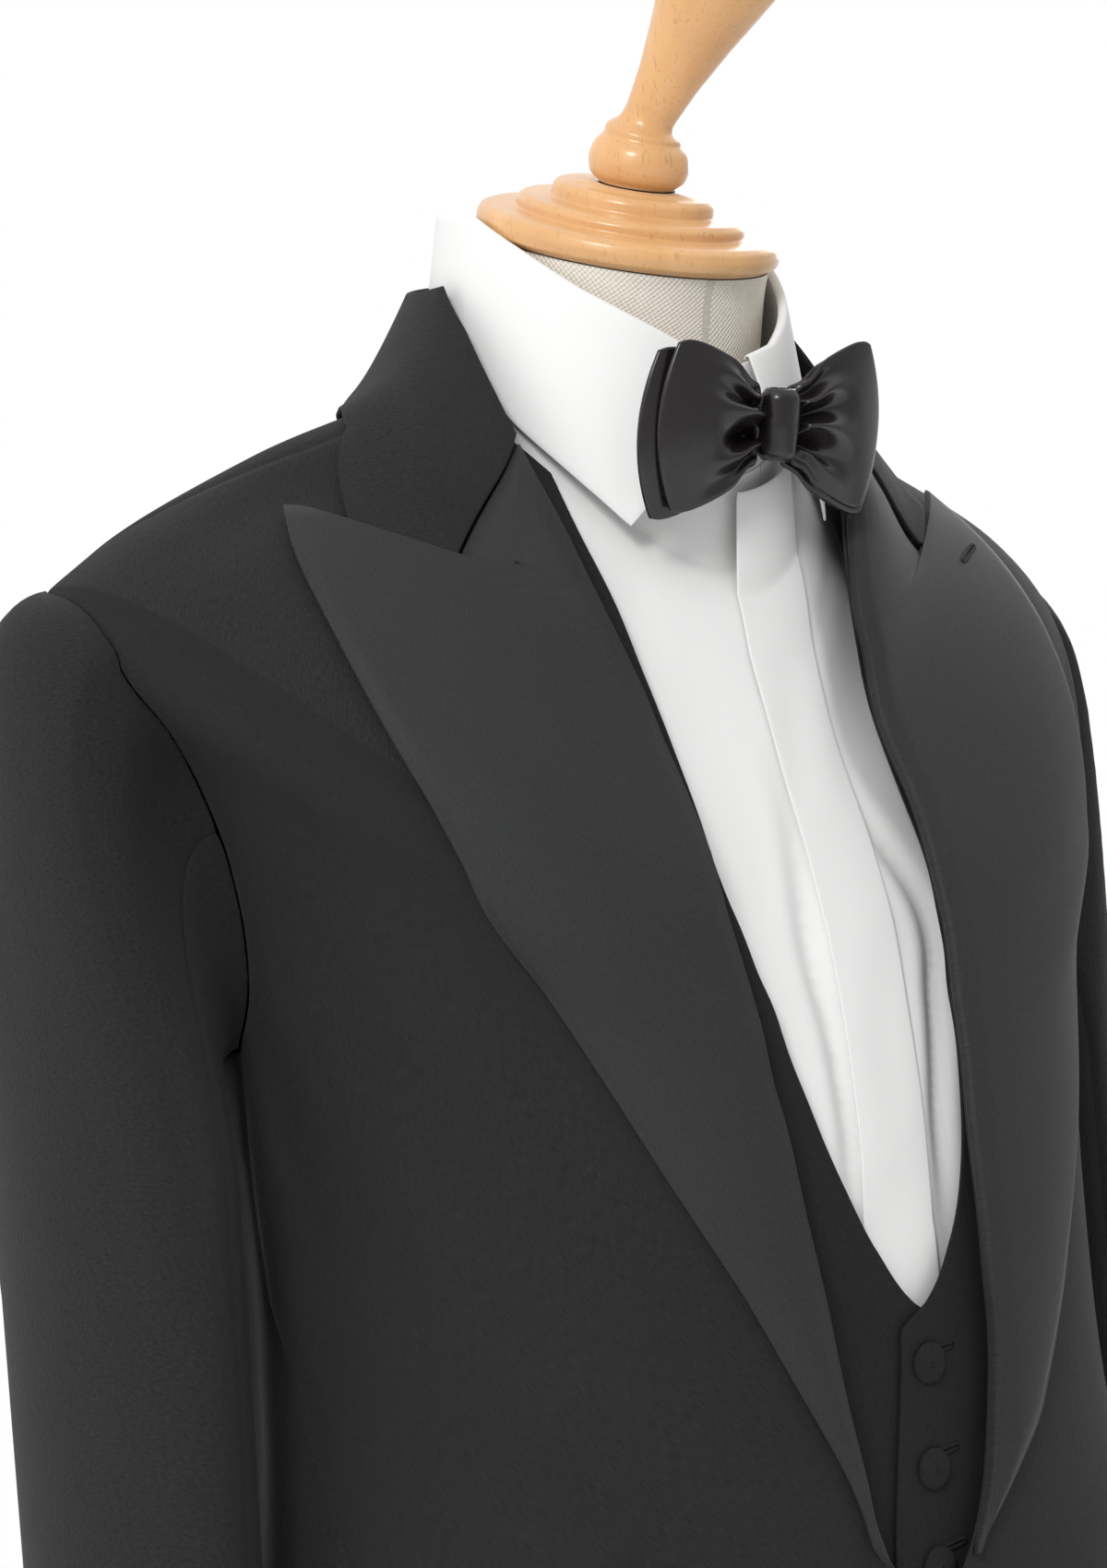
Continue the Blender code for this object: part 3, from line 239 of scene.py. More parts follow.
def spline(table, place):
    """A smooth curve through the rows of a table, read at any place between them."""
    last = len(table) - 1
    place = np.clip(np.asarray(place, float), 0, last)
    low = np.minimum(place.astype(int), last - 1)
    t = (place - low)[..., None]
    before, here = table[np.maximum(low - 1, 0)], table[low]
    there, after = table[low + 1], table[np.minimum(low + 2, last)]
    bend = (2 * before - 5 * here + 4 * there - after) * t**2
    turn = (3 * here - before - 3 * there + after) * t**3
    return 0.5 * (2 * here + (there - before) * t + bend + turn)


# Steps along and round the body that give the directions of its surface.
RING_STEP, ANGLE_STEP = 0.02, 0.6


def ring_point(ring, angle):
    """The point of a ring at an angle in degrees from the middle of the front, positive to the left."""
    width, mid, front, back, high_front, high_side, high_back, square = np.moveaxis(ring, -1, 0)
    turn = np.radians(angle)
    power = 2 / square
    ahead = np.abs(np.cos(turn)) ** power
    aside = np.sign(np.sin(turn)) * np.abs(np.sin(turn)) ** power
    facing = np.cos(turn) > 0
    y = mid + np.where(facing, front - mid, back - mid) * ahead
    high = high_side + np.where(facing, high_front - high_side, high_back - high_side) * np.cos(turn) ** 2
    return np.stack(np.broadcast_arrays(width * aside, y, high), axis=-1)


def torso(angle, ring, depth=0.0):
    """A point at some depth under the jacket's outer face."""
    angle, ring, depth = np.broadcast_arrays(*(np.asarray(v, float) for v in (angle, ring, depth)))
    ring = np.clip(ring, 0, HEM)
    near, far = np.clip(ring - RING_STEP, 0, HEM), np.clip(ring + RING_STEP, 0, HEM)
    down = ring_point(spline(RINGS, far), angle) - ring_point(spline(RINGS, near), angle)
    level = spline(RINGS, ring)
    onward = ring_point(level, angle + ANGLE_STEP) - ring_point(level, angle - ANGLE_STEP)
    return ring_point(level, angle) - depth[..., None] * unit(np.cross(down, onward))


def turned_out(angle, ring, lift):
    """A point of the lapels and the collar: above the jacket, and rising to the fold line round the neck."""
    angle, ring, lift = np.broadcast_arrays(*(np.asarray(v, float) for v in (angle, ring, lift)))
    lying = torso(angle, np.maximum(ring, FOLD_MEETS), -lift)
    seat = torso(angle, FOLD_MEETS, -lift)
    fold = ring_point(FOLD, angle)
    outward = fold - np.array([0, FOLD[1], 0])
    outward[..., 2] = 0
    fold = fold + (lift[..., None] - LAPEL_LIFT) * unit(outward)
    middle = 2 * seat - torso(angle, FOLD_MEETS + FOLD_PULL, -lift)
    t = np.clip(ring / FOLD_MEETS, 0, 1)[..., None]
    rising = (1 - t) ** 2 * fold + 2 * t * (1 - t) * middle + t**2 * seat
    return np.where((ring < FOLD_MEETS)[..., None], rising, lying)


def edge(table, ring):
    """The angle of a seam or an edge at a ring, by a curve that doesn't overshoot its rows."""
    places, angles = np.array(table, float).T
    slopes = np.diff(angles) / np.diff(places)
    tangent = np.concatenate([slopes[:1], (slopes[1:] + slopes[:-1]) / 2, slopes[-1:]])
    tangent[1:-1][slopes[1:] * slopes[:-1] < 0] = 0
    ring = np.clip(ring, places[0], places[-1])
    at = np.clip(np.searchsorted(places, ring) - 1, 0, len(slopes) - 1)
    span = places[at + 1] - places[at]
    t = (ring - places[at]) / span
    rise = (2 * t**3 - 3 * t**2 + 1) * angles[at] + (3 * t**2 - 2 * t**3) * angles[at + 1]
    lean = (t**3 - 2 * t**2 + t) * tangent[at] + (t**3 - t**2) * tangent[at + 1]
    return rise + span * lean


def joined(*tables):
    """Edges that follow one another, as one function of the ring."""

    def angle_at(ring):
        ring = np.asarray(ring, float)
        found = edge(tables[0], ring)
        for table in tables[1:]:
            found = np.where(ring >= table[0][0], edge(table, ring), found)
        return found

    return angle_at


def table_at(table, place):
    """A table read along straight lines between its rows."""
    places, values = np.array(table, float).T
    return np.interp(place, places, values)


def eased(value, low, high):
    """0 below low and 1 above high, with a soft start and end."""
    t = np.clip((value - low) / (high - low), 0, 1)
    return t * t * (3 - 2 * t)


def seam_angle(ring):
    """The angle that a seam's gap takes at a ring."""
    return np.degrees(SEAM / spline(RINGS, ring)[..., 0])


def shifted(edge_at, seams):
    """An edge moved sideways by some widths of a seam's gap."""
    return lambda ring: edge_at(ring) + seams * seam_angle(ring)


def opposite(edge_at):
    """The same edge on the other side of the back."""
    return lambda ring: 360 - edge_at(ring)


def stretches(*stops):
    """Places along several stretches, each given as (start, end, steps)."""
    parts = [np.linspace(start, end, count, endpoint=False) for start, end, count in stops]
    return np.concatenate([*parts, [stops[-1][1]]])


def angle_of(across, ring, depth):
    """The angle at which the trunk's middle front is some millimetres to the left."""
    level = spline(RINGS, ring)
    share = np.abs(across) / (level[..., 0] - depth)
    return np.degrees(np.sign(across) * np.arcsin(share ** (level[..., 7] / 2)))


def lapel_outline(word):
    """Rows from the break to the gorge: each has the roll line's place and the outer edge's place."""
    count_edge, count_top, count_gorge = LAPEL_ROWS.values()
    rings = np.linspace(BREAK, LAPEL_TIP[0], count_edge)
    edge_rows = np.stack([rings, edge(LAPEL_EDGE, rings)], axis=-1)
    share = np.linspace(0, 1, count_top + 1)[1:, None]
    top_rows = np.array(LAPEL_TIP) + share * (np.array(NOTCH) - LAPEL_TIP)
    share = np.linspace(0, GORGE_SHARE, count_gorge + 1)[1:, None]
    gorge_rows = np.array(NOTCH) + share * (np.array(GORGE_TOP) - NOTCH)
    outer = np.concatenate([edge_rows, top_rows, gorge_rows])
    beside_tip, beside_notch, top = ROLL_STOPS
    rolls = np.concatenate([
        np.linspace(BREAK, beside_tip, count_edge),
        np.linspace(beside_tip, beside_notch, count_top + 1)[1:],
        np.linspace(beside_notch, top, count_gorge + 1)[1:],
    ])
    inner = np.stack([rolls, edge(ROLL_LINES[word], rolls)], axis=-1)
    return inner, outer


def collar_half(share, columns):
    """The collar from one end (0) to the middle of the back (1): places across it from fold to fall."""
    across = np.linspace(0, 1, columns)
    t = share[:, None]
    (fold_start, start_ring), (fall_start, _) = COLLAR_FOLD[0], COLLAR_FALL[0]
    fold_angle = fold_start + (180 - fold_start) * t
    fall_angle = fall_start + (180 - fall_start) * t
    fold_ring = table_at(COLLAR_FOLD, fold_angle)
    fall_ring = table_at(COLLAR_FALL, fall_angle)
    angle = fold_angle + across * (fall_angle - fold_angle)
    ring = fold_ring + across * (fall_ring - fold_ring)
    end_places = (0, 0.5, 1)
    end_angles = (fold_start, NOTCH[1] + NOTCH_GAP[1], LAPEL_CORNER[1])
    end_rings = (start_ring, NOTCH[0] - NOTCH_GAP[0], LAPEL_CORNER[0] - NOTCH_GAP[0])
    end_angle = np.interp(across, end_places, end_angles)
    end_ring = np.interp(across, end_places, end_rings)
    fade = np.clip(1 - t / COLLAR_END_FADE, 0, 1) ** 2
    return angle + fade * (end_angle - angle[:1]), ring + fade * (end_ring - ring[:1])


def armhole_loop(front, back, turn, depth, side):
    """A point of the armhole for each turn: 0 the top, 90 the front, 180 the underarm, 270 the back."""
    turn = np.mod(np.asarray(turn, float), 360)
    top, low = front[0][0], front[-1][0] - ARMHOLE_FOOT
    down = (1 - np.cos(np.radians(turn))) / 2
    ring = top + (low - top) * down
    angle = np.where(turn <= 180, edge(front, ring), edge(back, ring))
    return torso(angle * side, ring, depth)


def sleeve_surface(turn, along, side, front, back, depth, inset):
    """A sleeve's surface: turn goes round it, and along runs from the armhole (0) by way of 1 to the cuff."""
    turn, along = np.broadcast_arrays(np.asarray(turn, float), np.asarray(along, float))
    start = armhole_loop(front, back, turn, depth, side)
    start[..., 0] += side * (SHIRT_SLEEVE_GAP if depth else SLEEVE_GAP)

    def ring_at(place):
        high, out, mid, across, length = np.moveaxis(spline(SLEEVES, place), -1, 0)
        rad = np.radians(turn)
        x = out + (across - inset) * np.cos(rad)
        y = mid - (length - inset) * np.sin(rad)
        return np.stack([side * x, y, high + 0 * x], axis=-1)

    first = ring_at(np.zeros_like(along))
    gap = np.linalg.norm(first - start, axis=-1, keepdims=True)
    outward = np.array([side * CAP_OUTWARD[0], 0, CAP_OUTWARD[1]])
    t = np.clip(along, 0, 1)[..., None]
    cap = (
        (2 * t**3 - 3 * t**2 + 1) * start + (t**3 - 2 * t**2 + t) * outward * gap * CAP_PULLS[0]
        + (3 * t**2 - 2 * t**3) * first + (t**3 - t**2) * np.array([0, 0, -1.0]) * gap * CAP_PULLS[1]
    )
    return np.where((along > 1)[..., None], ring_at(np.maximum(along - 1, 0)), cap)


def sleeve_normal(turn, along, side, *fit):
    """The sleeve's outward direction at a place on it."""

    def at(turned_by, moved_by):
        return sleeve_surface(turn + turned_by, np.clip(along + moved_by, 0, len(SLEEVES)), side, *fit)

    along_it = at(0, RING_STEP) - at(0, -RING_STEP)
    return unit(side * np.cross(at(1, 0) - at(-1, 0), along_it))


def placket_angle(ring, sideways):
    """The angle at some millimetres to the left of the placket's middle."""
    middle = table_at(PLACKET_MIDDLE, ring)
    return angle_of(middle + sideways, ring, SHIRT_DEPTH)


def collar_ring(place, heights, angle, inward):
    """Points round the shirt collar's fold or the leaf's lower edge, drawn in by some millimetres."""
    width, mid, front, back = COLLAR_PLAN[place]
    turn = np.radians(angle)
    reach = np.where(np.cos(turn) > 0, mid - front, back - mid) - inward
    high = table_at(heights, np.minimum(angle, 360 - angle))
    return np.stack([(width - inward) * np.sin(turn), mid - reach * np.cos(turn), high], axis=-1)


def between(first, last, rows):
    """Rows of points from one line to another."""
    share = np.linspace(0, 1, rows)[:, None, None]
    return first + share * (last - first)


def bent_rings(profile, turn):
    """Rings of the finial: its spine leaves the cap along the cap's axis and bends to its own."""
    first, last = unit(np.array(CAP_AXIS)), unit(np.array(FINIAL_AXIS))

    def axis_at(high):
        return unit(first + eased(high, *FINIAL_BEND) * (last - first))

    place = np.array(CAP_CENTRE) + (CAP_PROFILE[-1][1] + WOOD_GAP) * first
    height = 0.0
    rings = []
    for radius, top in profile:
        place = place + (top - height) * axis_at((height + top) / 2)
        height = top
        ahead = unit(np.cross(axis_at(top), (1, 0, 0)))
        aside = np.cross(ahead, axis_at(top))
        rings.append(place + radius * (np.sin(turn) * aside - np.cos(turn) * ahead))
    return np.stack(rings)


# Creases are soft troughs in the cloth. Each row has its start, the start's angle, its end, the end's angle,
# how far its path bends sideways in degrees, and its width and depth in millimetres. On the trunk a place is
# a ring and an angle from the middle of the front; on a sleeve it is a place along it and a turn round it.
JACKET_CREASES = {
    "right": (
        ("chest drape", 4.6, 62, 7.4, 55, 6, 16, 3.4),
        ("armhole break", 5.2, 76, 7.0, 72, -3, 9, 2.5),
        ("underarm drag", 6.2, 80, 7.6, 60, 4, 11, 2.2),
        ("waist pull high", 8.3, 74, 9.2, 24, -5, 12, 2.3),
        ("waist pull low", 9.0, 70, 9.6, 30, 4, 15, 1.8),
        ("skirt fold", 9.8, 58, 11.9, 52, 2, 22, 3.6),
        ("skirt fold side", 10.2, 88, 11.9, 92, 0, 18, 2.9),
        ("side hollow", 6.8, 99, 8.9, 101, 3, 13, 2.9),
        ("shoulder dimple", 1.6, 68, 3.2, 74, 3, 12, 1.3),
    ),
    "left": (
        ("chest drape", 4.8, 60, 7.2, 57, 5, 15, 2.9),
        ("armhole break", 5.3, 77, 6.8, 73, -3, 10, 2.1),
        ("underarm drag", 6.4, 79, 7.9, 58, 4, 12, 2.0),
        ("waist pull", 8.5, 72, 9.3, 22, -4, 14, 2.2),
        ("skirt fold", 9.9, 50, 11.9, 45, 2, 24, 3.4),
        ("skirt fold side", 10.0, 90, 11.9, 95, 0, 17, 2.6),
        ("side hollow", 7.0, 98, 9.1, 100, 3, 12, 2.3),
    ),
}
BACK_CREASES = {
    "right": (
        ("blade fold", 4.6, 118, 8.0, 124, 4, 14, 5.1),
        ("blade fold inner", 5.4, 131, 8.6, 133, 2, 17, 3.7),
        ("back neck ripple", 1.3, 172, 1.7, 132, -5, 9, 2.7),
        ("waist hollow", 8.2, 150, 9.6, 140, 3, 20, 4.4),
        ("skirt fold", 9.6, 140, 11.9, 146, 2, 22, 5.1),
    ),
    "left": (
        ("blade fold", 4.8, 117, 7.7, 122, 4, 13, 4.4),
        ("blade fold inner", 5.2, 133, 8.9, 136, 3, 18, 4.1),
        ("back neck ripple", 1.2, 170, 1.6, 140, -4, 8, 2.2),
        ("waist hollow", 8.0, 152, 9.4, 143, 2, 19, 3.7),
        ("skirt fold", 9.8, 134, 11.9, 138, 3, 20, 4.4),
    ),
}
SLEEVE_CREASES = {
    "right": (
        ("cap break front", 0.25, 60, 1.5, 84, 6, 10, 2.7),
        ("cap break back", 0.3, -50, 1.4, -74, -6, 11, 3.0),
        ("elbow front high", 2.4, 118, 2.9, 62, 6, 12, 3.3),
        ("elbow front low", 2.9, 124, 3.4, 76, -5, 14, 3.9),
        ("elbow back", 2.7, -60, 3.2, -120, 4, 13, 2.7),
        ("forearm long", 3.3, 40, 4.7, 22, 4, 16, 2.4),
        ("inner arm", 1.1, 150, 2.4, 190, 8, 14, 3.6),
    ),
    "left": (
        ("cap break front", 0.3, 58, 1.6, 82, 5, 11, 2.4),
        ("cap break back", 0.25, -48, 1.6, -70, -6, 10, 3.3),
        ("elbow front high", 2.5, 116, 3.0, 66, 6, 13, 3.0),
        ("elbow front low", 3.0, 122, 3.5, 80, -4, 13, 3.6),
        ("elbow back", 2.6, -56, 3.1, -118, 4, 12, 3.0),
        ("forearm long", 3.2, 36, 4.6, 26, 3, 17, 2.1),
        ("inner arm", 1.2, 146, 2.3, 196, 8, 13, 3.3),
    ),
}
SHIRT_CREASES = {
    "right": (
        ("beside the placket", 1.6, 2.6, 7.0, 8.0, -1.6, 6, 4.6),
        ("under the collar", 0.6, 30, 2.6, 25, 2, 7, 1.3),
        ("chest soft", 2.2, 25, 4.6, 17, 2, 9, 1.0),
        ("lapel side", 3.0, 16, 5.0, 13, 1, 6, 1.0),
    ),
    "left": (
        ("tuck", 2.0, 14.5, 6.4, 6.6, 0.6, 5, 3.6),
        ("under the knot", 0.4, 19, 2.8, 15, -2, 6, 1.6),
        ("lapel side", 2.4, 22, 4.2, 14, 2, 6, 1.0),
    ),
}
PLACKET_CREASES = (
    ("ripple high", 1.1, 10.5, 2.2, 1.2, 0.4, 9, 0.9),
    ("ripple low", 5.0, 3.6, 6.3, -3.4, 0.4, 12, 0.8),
    ("sag", 3.0, 6.4, 5.2, 2.0, -1.2, 9, 0.7),
)
WAISTCOAT_CREASES = (
    ("button drag", 7.5, 30, 8.1, 3, 2, 8, 0.9),
    ("waist fold", 8.4, 42, 8.8, 10, -2, 10, 1.0),
    ("side hollow", 7.0, 75, 9.2, 70, 2, 14, 1.4),
)

PATH_STEPS = 36
SWELL_HEIGHT, SWELL_AWAY = 0.4, 1.9
SEAM_VALLEY, SEAM_VALLEY_WIDTH = 0.75, 2.6
RIM_STEPS = 3


def hump(value, height, width, middle=0.0):
    """A smooth rise of some height, round the middle and about a width to each side of it."""
    return height * np.exp(-(((value - middle) / width) ** 2))


def rounded_rim(outer, inner, neighbour):
    """Loops of points that carry a sheet's edge round from its outer face to its inner one."""
    middle = (outer + inner) / 2
    half = (outer - inner) / 2
    away = middle - neighbour
    away /= np.linalg.norm(away, axis=-1, keepdims=True) + 1e-9
    reach = np.linalg.norm(half, axis=-1, keepdims=True)
    turns = np.linspace(0, np.pi, RIM_STEPS + 2)[1:-1]
    return [middle + half * np.cos(turn) + away * reach * np.sin(turn) for turn in turns]


def loops_round(rows, columns, wrap):
    """The open edges of a grid, each as its points' numbers and their inner neighbours' numbers."""
    grid = np.arange(rows * columns).reshape(rows, columns)
    if wrap:
        return [(grid[0], grid[1]), (grid[-1][::-1], grid[-2][::-1])]
    inside_row = np.clip(np.arange(rows), 1, rows - 2)
    inside_column = np.clip(np.arange(columns), 1, columns - 2)
    sides = (
        (grid[0, :-1], grid[1, inside_column[:-1]]),
        (grid[:-1, -1], grid[inside_row[:-1], -2]),
        (grid[-1, :0:-1], grid[-2, inside_column[:0:-1]]),
        (grid[:0:-1, 0], grid[inside_row[:0:-1], 1]),
    )
    return [(np.concatenate([side[0] for side in sides]), np.concatenate([side[1] for side in sides]))]


def grid_faces(rows, columns, wrap):
    """Four-sided faces of a grid, closed across its columns if it wraps."""
    grid = np.arange(rows * columns).reshape(rows, columns)
    after = np.roll(grid, -1, axis=1) if wrap else grid[:, 1:]
    here = grid if wrap else grid[:, :-1]
    return np.stack([here[:-1], here[1:], after[1:], after[:-1]], axis=-1).reshape(-1, 4)


def loop_faces(first, second):
    """Faces between two closed loops of as many points."""
    return np.stack([first, second, np.roll(second, -1), np.roll(first, -1)], axis=-1)


def arc_lengths(points, axis):
    """How far each point lies from the first along its row or column."""
    steps = np.linalg.norm(np.diff(points, axis=axis), axis=-1)
    start = np.zeros_like(np.take(steps, [0], axis=axis))
    return np.concatenate([start, np.cumsum(steps, axis=axis)], axis=axis)


def linked(name, data):
    """A new object in the scene."""
    thing = bpy.data.objects.new(name, data)
    bpy.context.scene.collection.objects.link(thing)
    return thing


def made_object(name, points, faces, flat, finish):
    """An object from points in millimetres; flat, each point's place on the uncut cloth, is its UV map."""
    mesh = bpy.data.meshes.new(name)
    placed = (points + np.array([0, 0, NAPE])) * MM
    mesh.from_pydata(placed.tolist(), [], faces.tolist() if hasattr(faces, "tolist") else faces)
    corners = np.zeros(len(mesh.loops), int)
    mesh.loops.foreach_get("vertex_index", corners)
    layer = mesh.uv_layers.new(name="cloth")
    layer.data.foreach_set("uv", (flat[corners] * MM).ravel())
    mesh.materials.append(finish)
    mesh.shade_smooth()
    return linked(name, mesh)


def enclosed(points, faces):
    """Six times the volume inside four-sided faces, negative if they face inwards."""
    a, b, c, d = (points[faces[:, k]] for k in range(4))
    first = np.einsum("ij,ij->i", a, np.cross(b, c)).sum()
    return first + np.einsum("ij,ij->i", a, np.cross(c, d)).sum()


def shell(name, outer, inner, finish, wrap=False):
    """A thin sheet of cloth between two grids of points, with rounded edges."""
    rows, columns = outer.shape[:2]
    size = rows * columns
    across = arc_lengths(outer, 1)
    across -= across[:, columns // 2, None]
    down = arc_lengths(outer, 0)
    flat = np.stack([across, down], axis=-1).reshape(-1, 2)
    outer, inner = outer.reshape(-1, 3), inner.reshape(-1, 3)
    sheet = grid_faces(rows, columns, wrap)
    points, places = [outer, inner], [flat, flat]
    faces = [sheet, sheet[:, ::-1] + size]
    count = 2 * size
    for loop, inside in loops_round(rows, columns, wrap):
        before = loop
        neighbour = (outer[inside] + inner[inside]) / 2
        for ring in rounded_rim(outer[loop], inner[loop], neighbour):
            here = np.arange(count, count + len(loop))
            points.append(ring)
            places.append(flat[loop])
            faces.append(loop_faces(before, here)[:, ::-1])
            before = here
            count += len(loop)
        faces.append(loop_faces(before, loop + size)[:, ::-1])
    points, faces, places = np.concatenate(points), np.concatenate(faces), np.concatenate(places)
    if enclosed(points, faces) < 0:
        faces = faces[:, ::-1]
    return made_object(name, points, faces, places, finish)


def stand_for(piece, node):
    """Fix a piece to the part and let it take the place of a CAD node."""
    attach(piece, "root")
    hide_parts(node)


def sewn(name, outer, inner, finish, slot, rests_on, held="draped", wrap=False):
    """A piece of cloth that stands for the CAD node of its own name."""
    piece = shell(name + "_cloth", outer, inner, finish, wrap)
    stand_for(piece, name)


def paths(table, surface):
    """Each crease of a table as the points of its path, its width and its depth."""
    share = np.linspace(0, 1, PATH_STEPS)
    found = []
    for row in table:
        start, start_angle, end, end_angle, bow, width, depth = row[1:]
        place = start + share * (end - start)
        angle = start_angle + share * (end_angle - start_angle) + bow * np.sin(np.pi * share)
        found.append((surface(angle, place), width, depth))
    return found


def creased(points, normal, lines):
    """Points pressed in along soft troughs, with a low swell beside each."""
    pressed = np.zeros(points.shape[:-1])
    for path, width, depth in lines:
        distance = np.linalg.norm(points[..., None, :] - path, axis=-1)
        along = distance.argmin(axis=-1) / (PATH_STEPS - 1)
        near = distance.min(axis=-1)
        fade = np.sin(np.pi * along) ** 0.8
        swell = hump(near, SWELL_HEIGHT, width, SWELL_AWAY * width)
        pressed += depth * fade * (hump(near, 1, width) - swell)
    return points - pressed[..., None] * normal


def spread(count):
    """Shares across a panel, closer together at both edges."""
    t = np.linspace(0, 1, count)
    return t - EDGE_CROWDING * np.sin(2 * np.pi * t) / (2 * np.pi)


def valley(outer, normal, sides):
    """Cloth drawn in along its seams; sides says which of the first and last columns are sewn."""
    across = arc_lengths(outer, 1)
    drawn = np.zeros(across.shape)
    if sides[0]:
        drawn += hump(across, 1, SEAM_VALLEY_WIDTH)
    if sides[1]:
        drawn += hump(across[:, -1:] - across, 1, SEAM_VALLEY_WIDTH)
    return outer - (SEAM_VALLEY * drawn)[..., None] * normal


def trunk_sheet(side, rings, inner_edge, outer_edge, count, depth, wall, lines, seams, lowered=None):
    """The outer and inner face of a trunk panel."""
    rings = np.asarray(rings, float)
    start, end = inner_edge(rings), outer_edge(rings)
    angles = start[:, None] + (end - start)[:, None] * spread(count)
    levels = np.broadcast_to(rings[:, None], angles.shape)
    if lowered:
        levels = lowered(angles, levels)
    sunk = depth(angles, levels) if callable(depth) else np.full(angles.shape, float(depth))
    outer = torso(angles * side, levels, sunk)
    normal = outer - torso(angles * side, levels, sunk + 1)
    outer = valley(creased(outer, normal, lines), normal, seams)
    return outer, outer - wall * normal


def overlapped(depth, word, more, angles, rings):
    """A front's depth: the right one lies deeper where the left one lies over it."""
    under = more if word == "right" else 0.0
    return lambda angle, ring: depth + under * (1 - eased(angle, *angles)) * eased(ring, *rings)


def on_trunk(side, depth):
    """The trunk at one depth as a surface of angle and ring."""
    return lambda angle, ring: torso(angle * side, ring, depth)


def add_jacket_trunk(wool):
    back_end = joined(SHOULDER_SEAM, ARMHOLE_BACK, BACK_SEAM)
    front_end = joined(SHOULDER_SEAM, ARMHOLE_FRONT, FRONT_SEAM)
    upper = ((JACKET_FRONT_TOP, ARMHOLE_TOP, 56), (ARMHOLE_TOP, ARMHOLE_LOW, 36))
    lower = ((ARMHOLE_LOW, CLOSING, 40), (CLOSING, HEM, 48))
    wall = CLOTH_WALL["jacket"]
    for word, side in SIDES:
        front_depth = overlapped(0.0, word, *JACKET_OVERLAP)
        front_lines = paths(JACKET_CREASES[word], on_trunk(side, 0))
        back_lines = paths(BACK_CREASES[word], on_trunk(side, 0))
        front = trunk_sheet(
            side, stretches(*upper, *lower), joined(ROLL_LINES[word], FRONT_CUT), shifted(front_end, -1),
            COLUMNS["jacket_front"], front_depth, wall, front_lines, (0, 1),
        )
        sewn(f"jacket_front_{word}", *front, wool, "jacket_wool", ["form_torso"])
        flank = trunk_sheet(
            side, stretches(*lower), joined(FRONT_SEAM), shifted(joined(BACK_SEAM), -1),
            COLUMNS["jacket_side"], 0.0, wall, front_lines + back_lines, (1, 1),
        )
        sewn(f"jacket_side_{word}", *flank, wool, "jacket_wool", ["form_torso"])
        back = trunk_sheet(
            side, stretches((0.0, JACKET_FRONT_TOP, 8), *upper, *lower), shifted(back_end, 1),
            shifted(lambda ring: 180.0, -CENTRE_SEAM), COLUMNS["back"], 0.0, wall, back_lines, (1, 1),
        )
        sewn(f"jacket_back_{word}", *back, wool, "jacket_wool", ["form_torso"])


def add_lapels(silk):
    wall = CLOTH_WALL["lapel"]
    share = spread(COLUMNS["lapel"])
    for word, side in SIDES:
        inner_line, outer_line = lapel_outline(word)
        widened = eased(BREAK - outer_line[:, 0], 0, LAPEL_TAPERS[word])
        narrowed = LAPEL_END + (1 - LAPEL_END) * widened
        outer_line[:, 1] = inner_line[:, 1] + narrowed * (outer_line[:, 1] - inner_line[:, 1])
        places = inner_line[:, None] + share[:, None] * (outer_line - inner_line)[:, None]
        ring, angle = places[..., 0], places[..., 1] * side
        base = turned_out(angle, ring, LAPEL_LIFT)
        across = arc_lengths(base, 1)
        belly = LAPEL_BELLY * np.sin(np.pi * np.clip(across / (across[:, -1:] + 1e-6), 0, 1)) ** 1.2
        edged = hump(across[:, -1:] - across, *LAPEL_EDGE_LIFT)
        lift = LAPEL_LIFT + belly + hump(across, *LAPEL_ROLL_LIFT) + edged
        under_lift = lift - wall
        under_lift[:, 0] = ROLL_GAP
        sewn(
            f"lapel_{word}", turned_out(angle, ring, lift), turned_out(angle, ring, under_lift), silk,
            "facing_silk", [f"jacket_front_{word}"], "folded",
        )


def add_collar(wool):
    angle, ring = collar_half(np.linspace(0, 1, 120) ** 1.15, COLUMNS["collar"])
    angle = np.concatenate([angle, 360 - angle[-2::-1]])
    ring = np.concatenate([ring, ring[-2::-1]])
    base = turned_out(angle, ring, LAPEL_LIFT)
    width = arc_lengths(base, 1)
    belly = COLLAR_BELLY * np.sin(np.pi * width / width[:, -1:])
    lift = LAPEL_LIFT + belly + hump(width[:, -1:] - width, *COLLAR_EDGE_LIFT)
    top = turned_out(angle, ring, lift)
    under = turned_out(angle, ring, lift - CLOTH_WALL["lapel"])
    backs = ["jacket_back_right", "jacket_back_left"]
    sewn("jacket_collar", top, under, wool, "jacket_wool", backs, "folded")


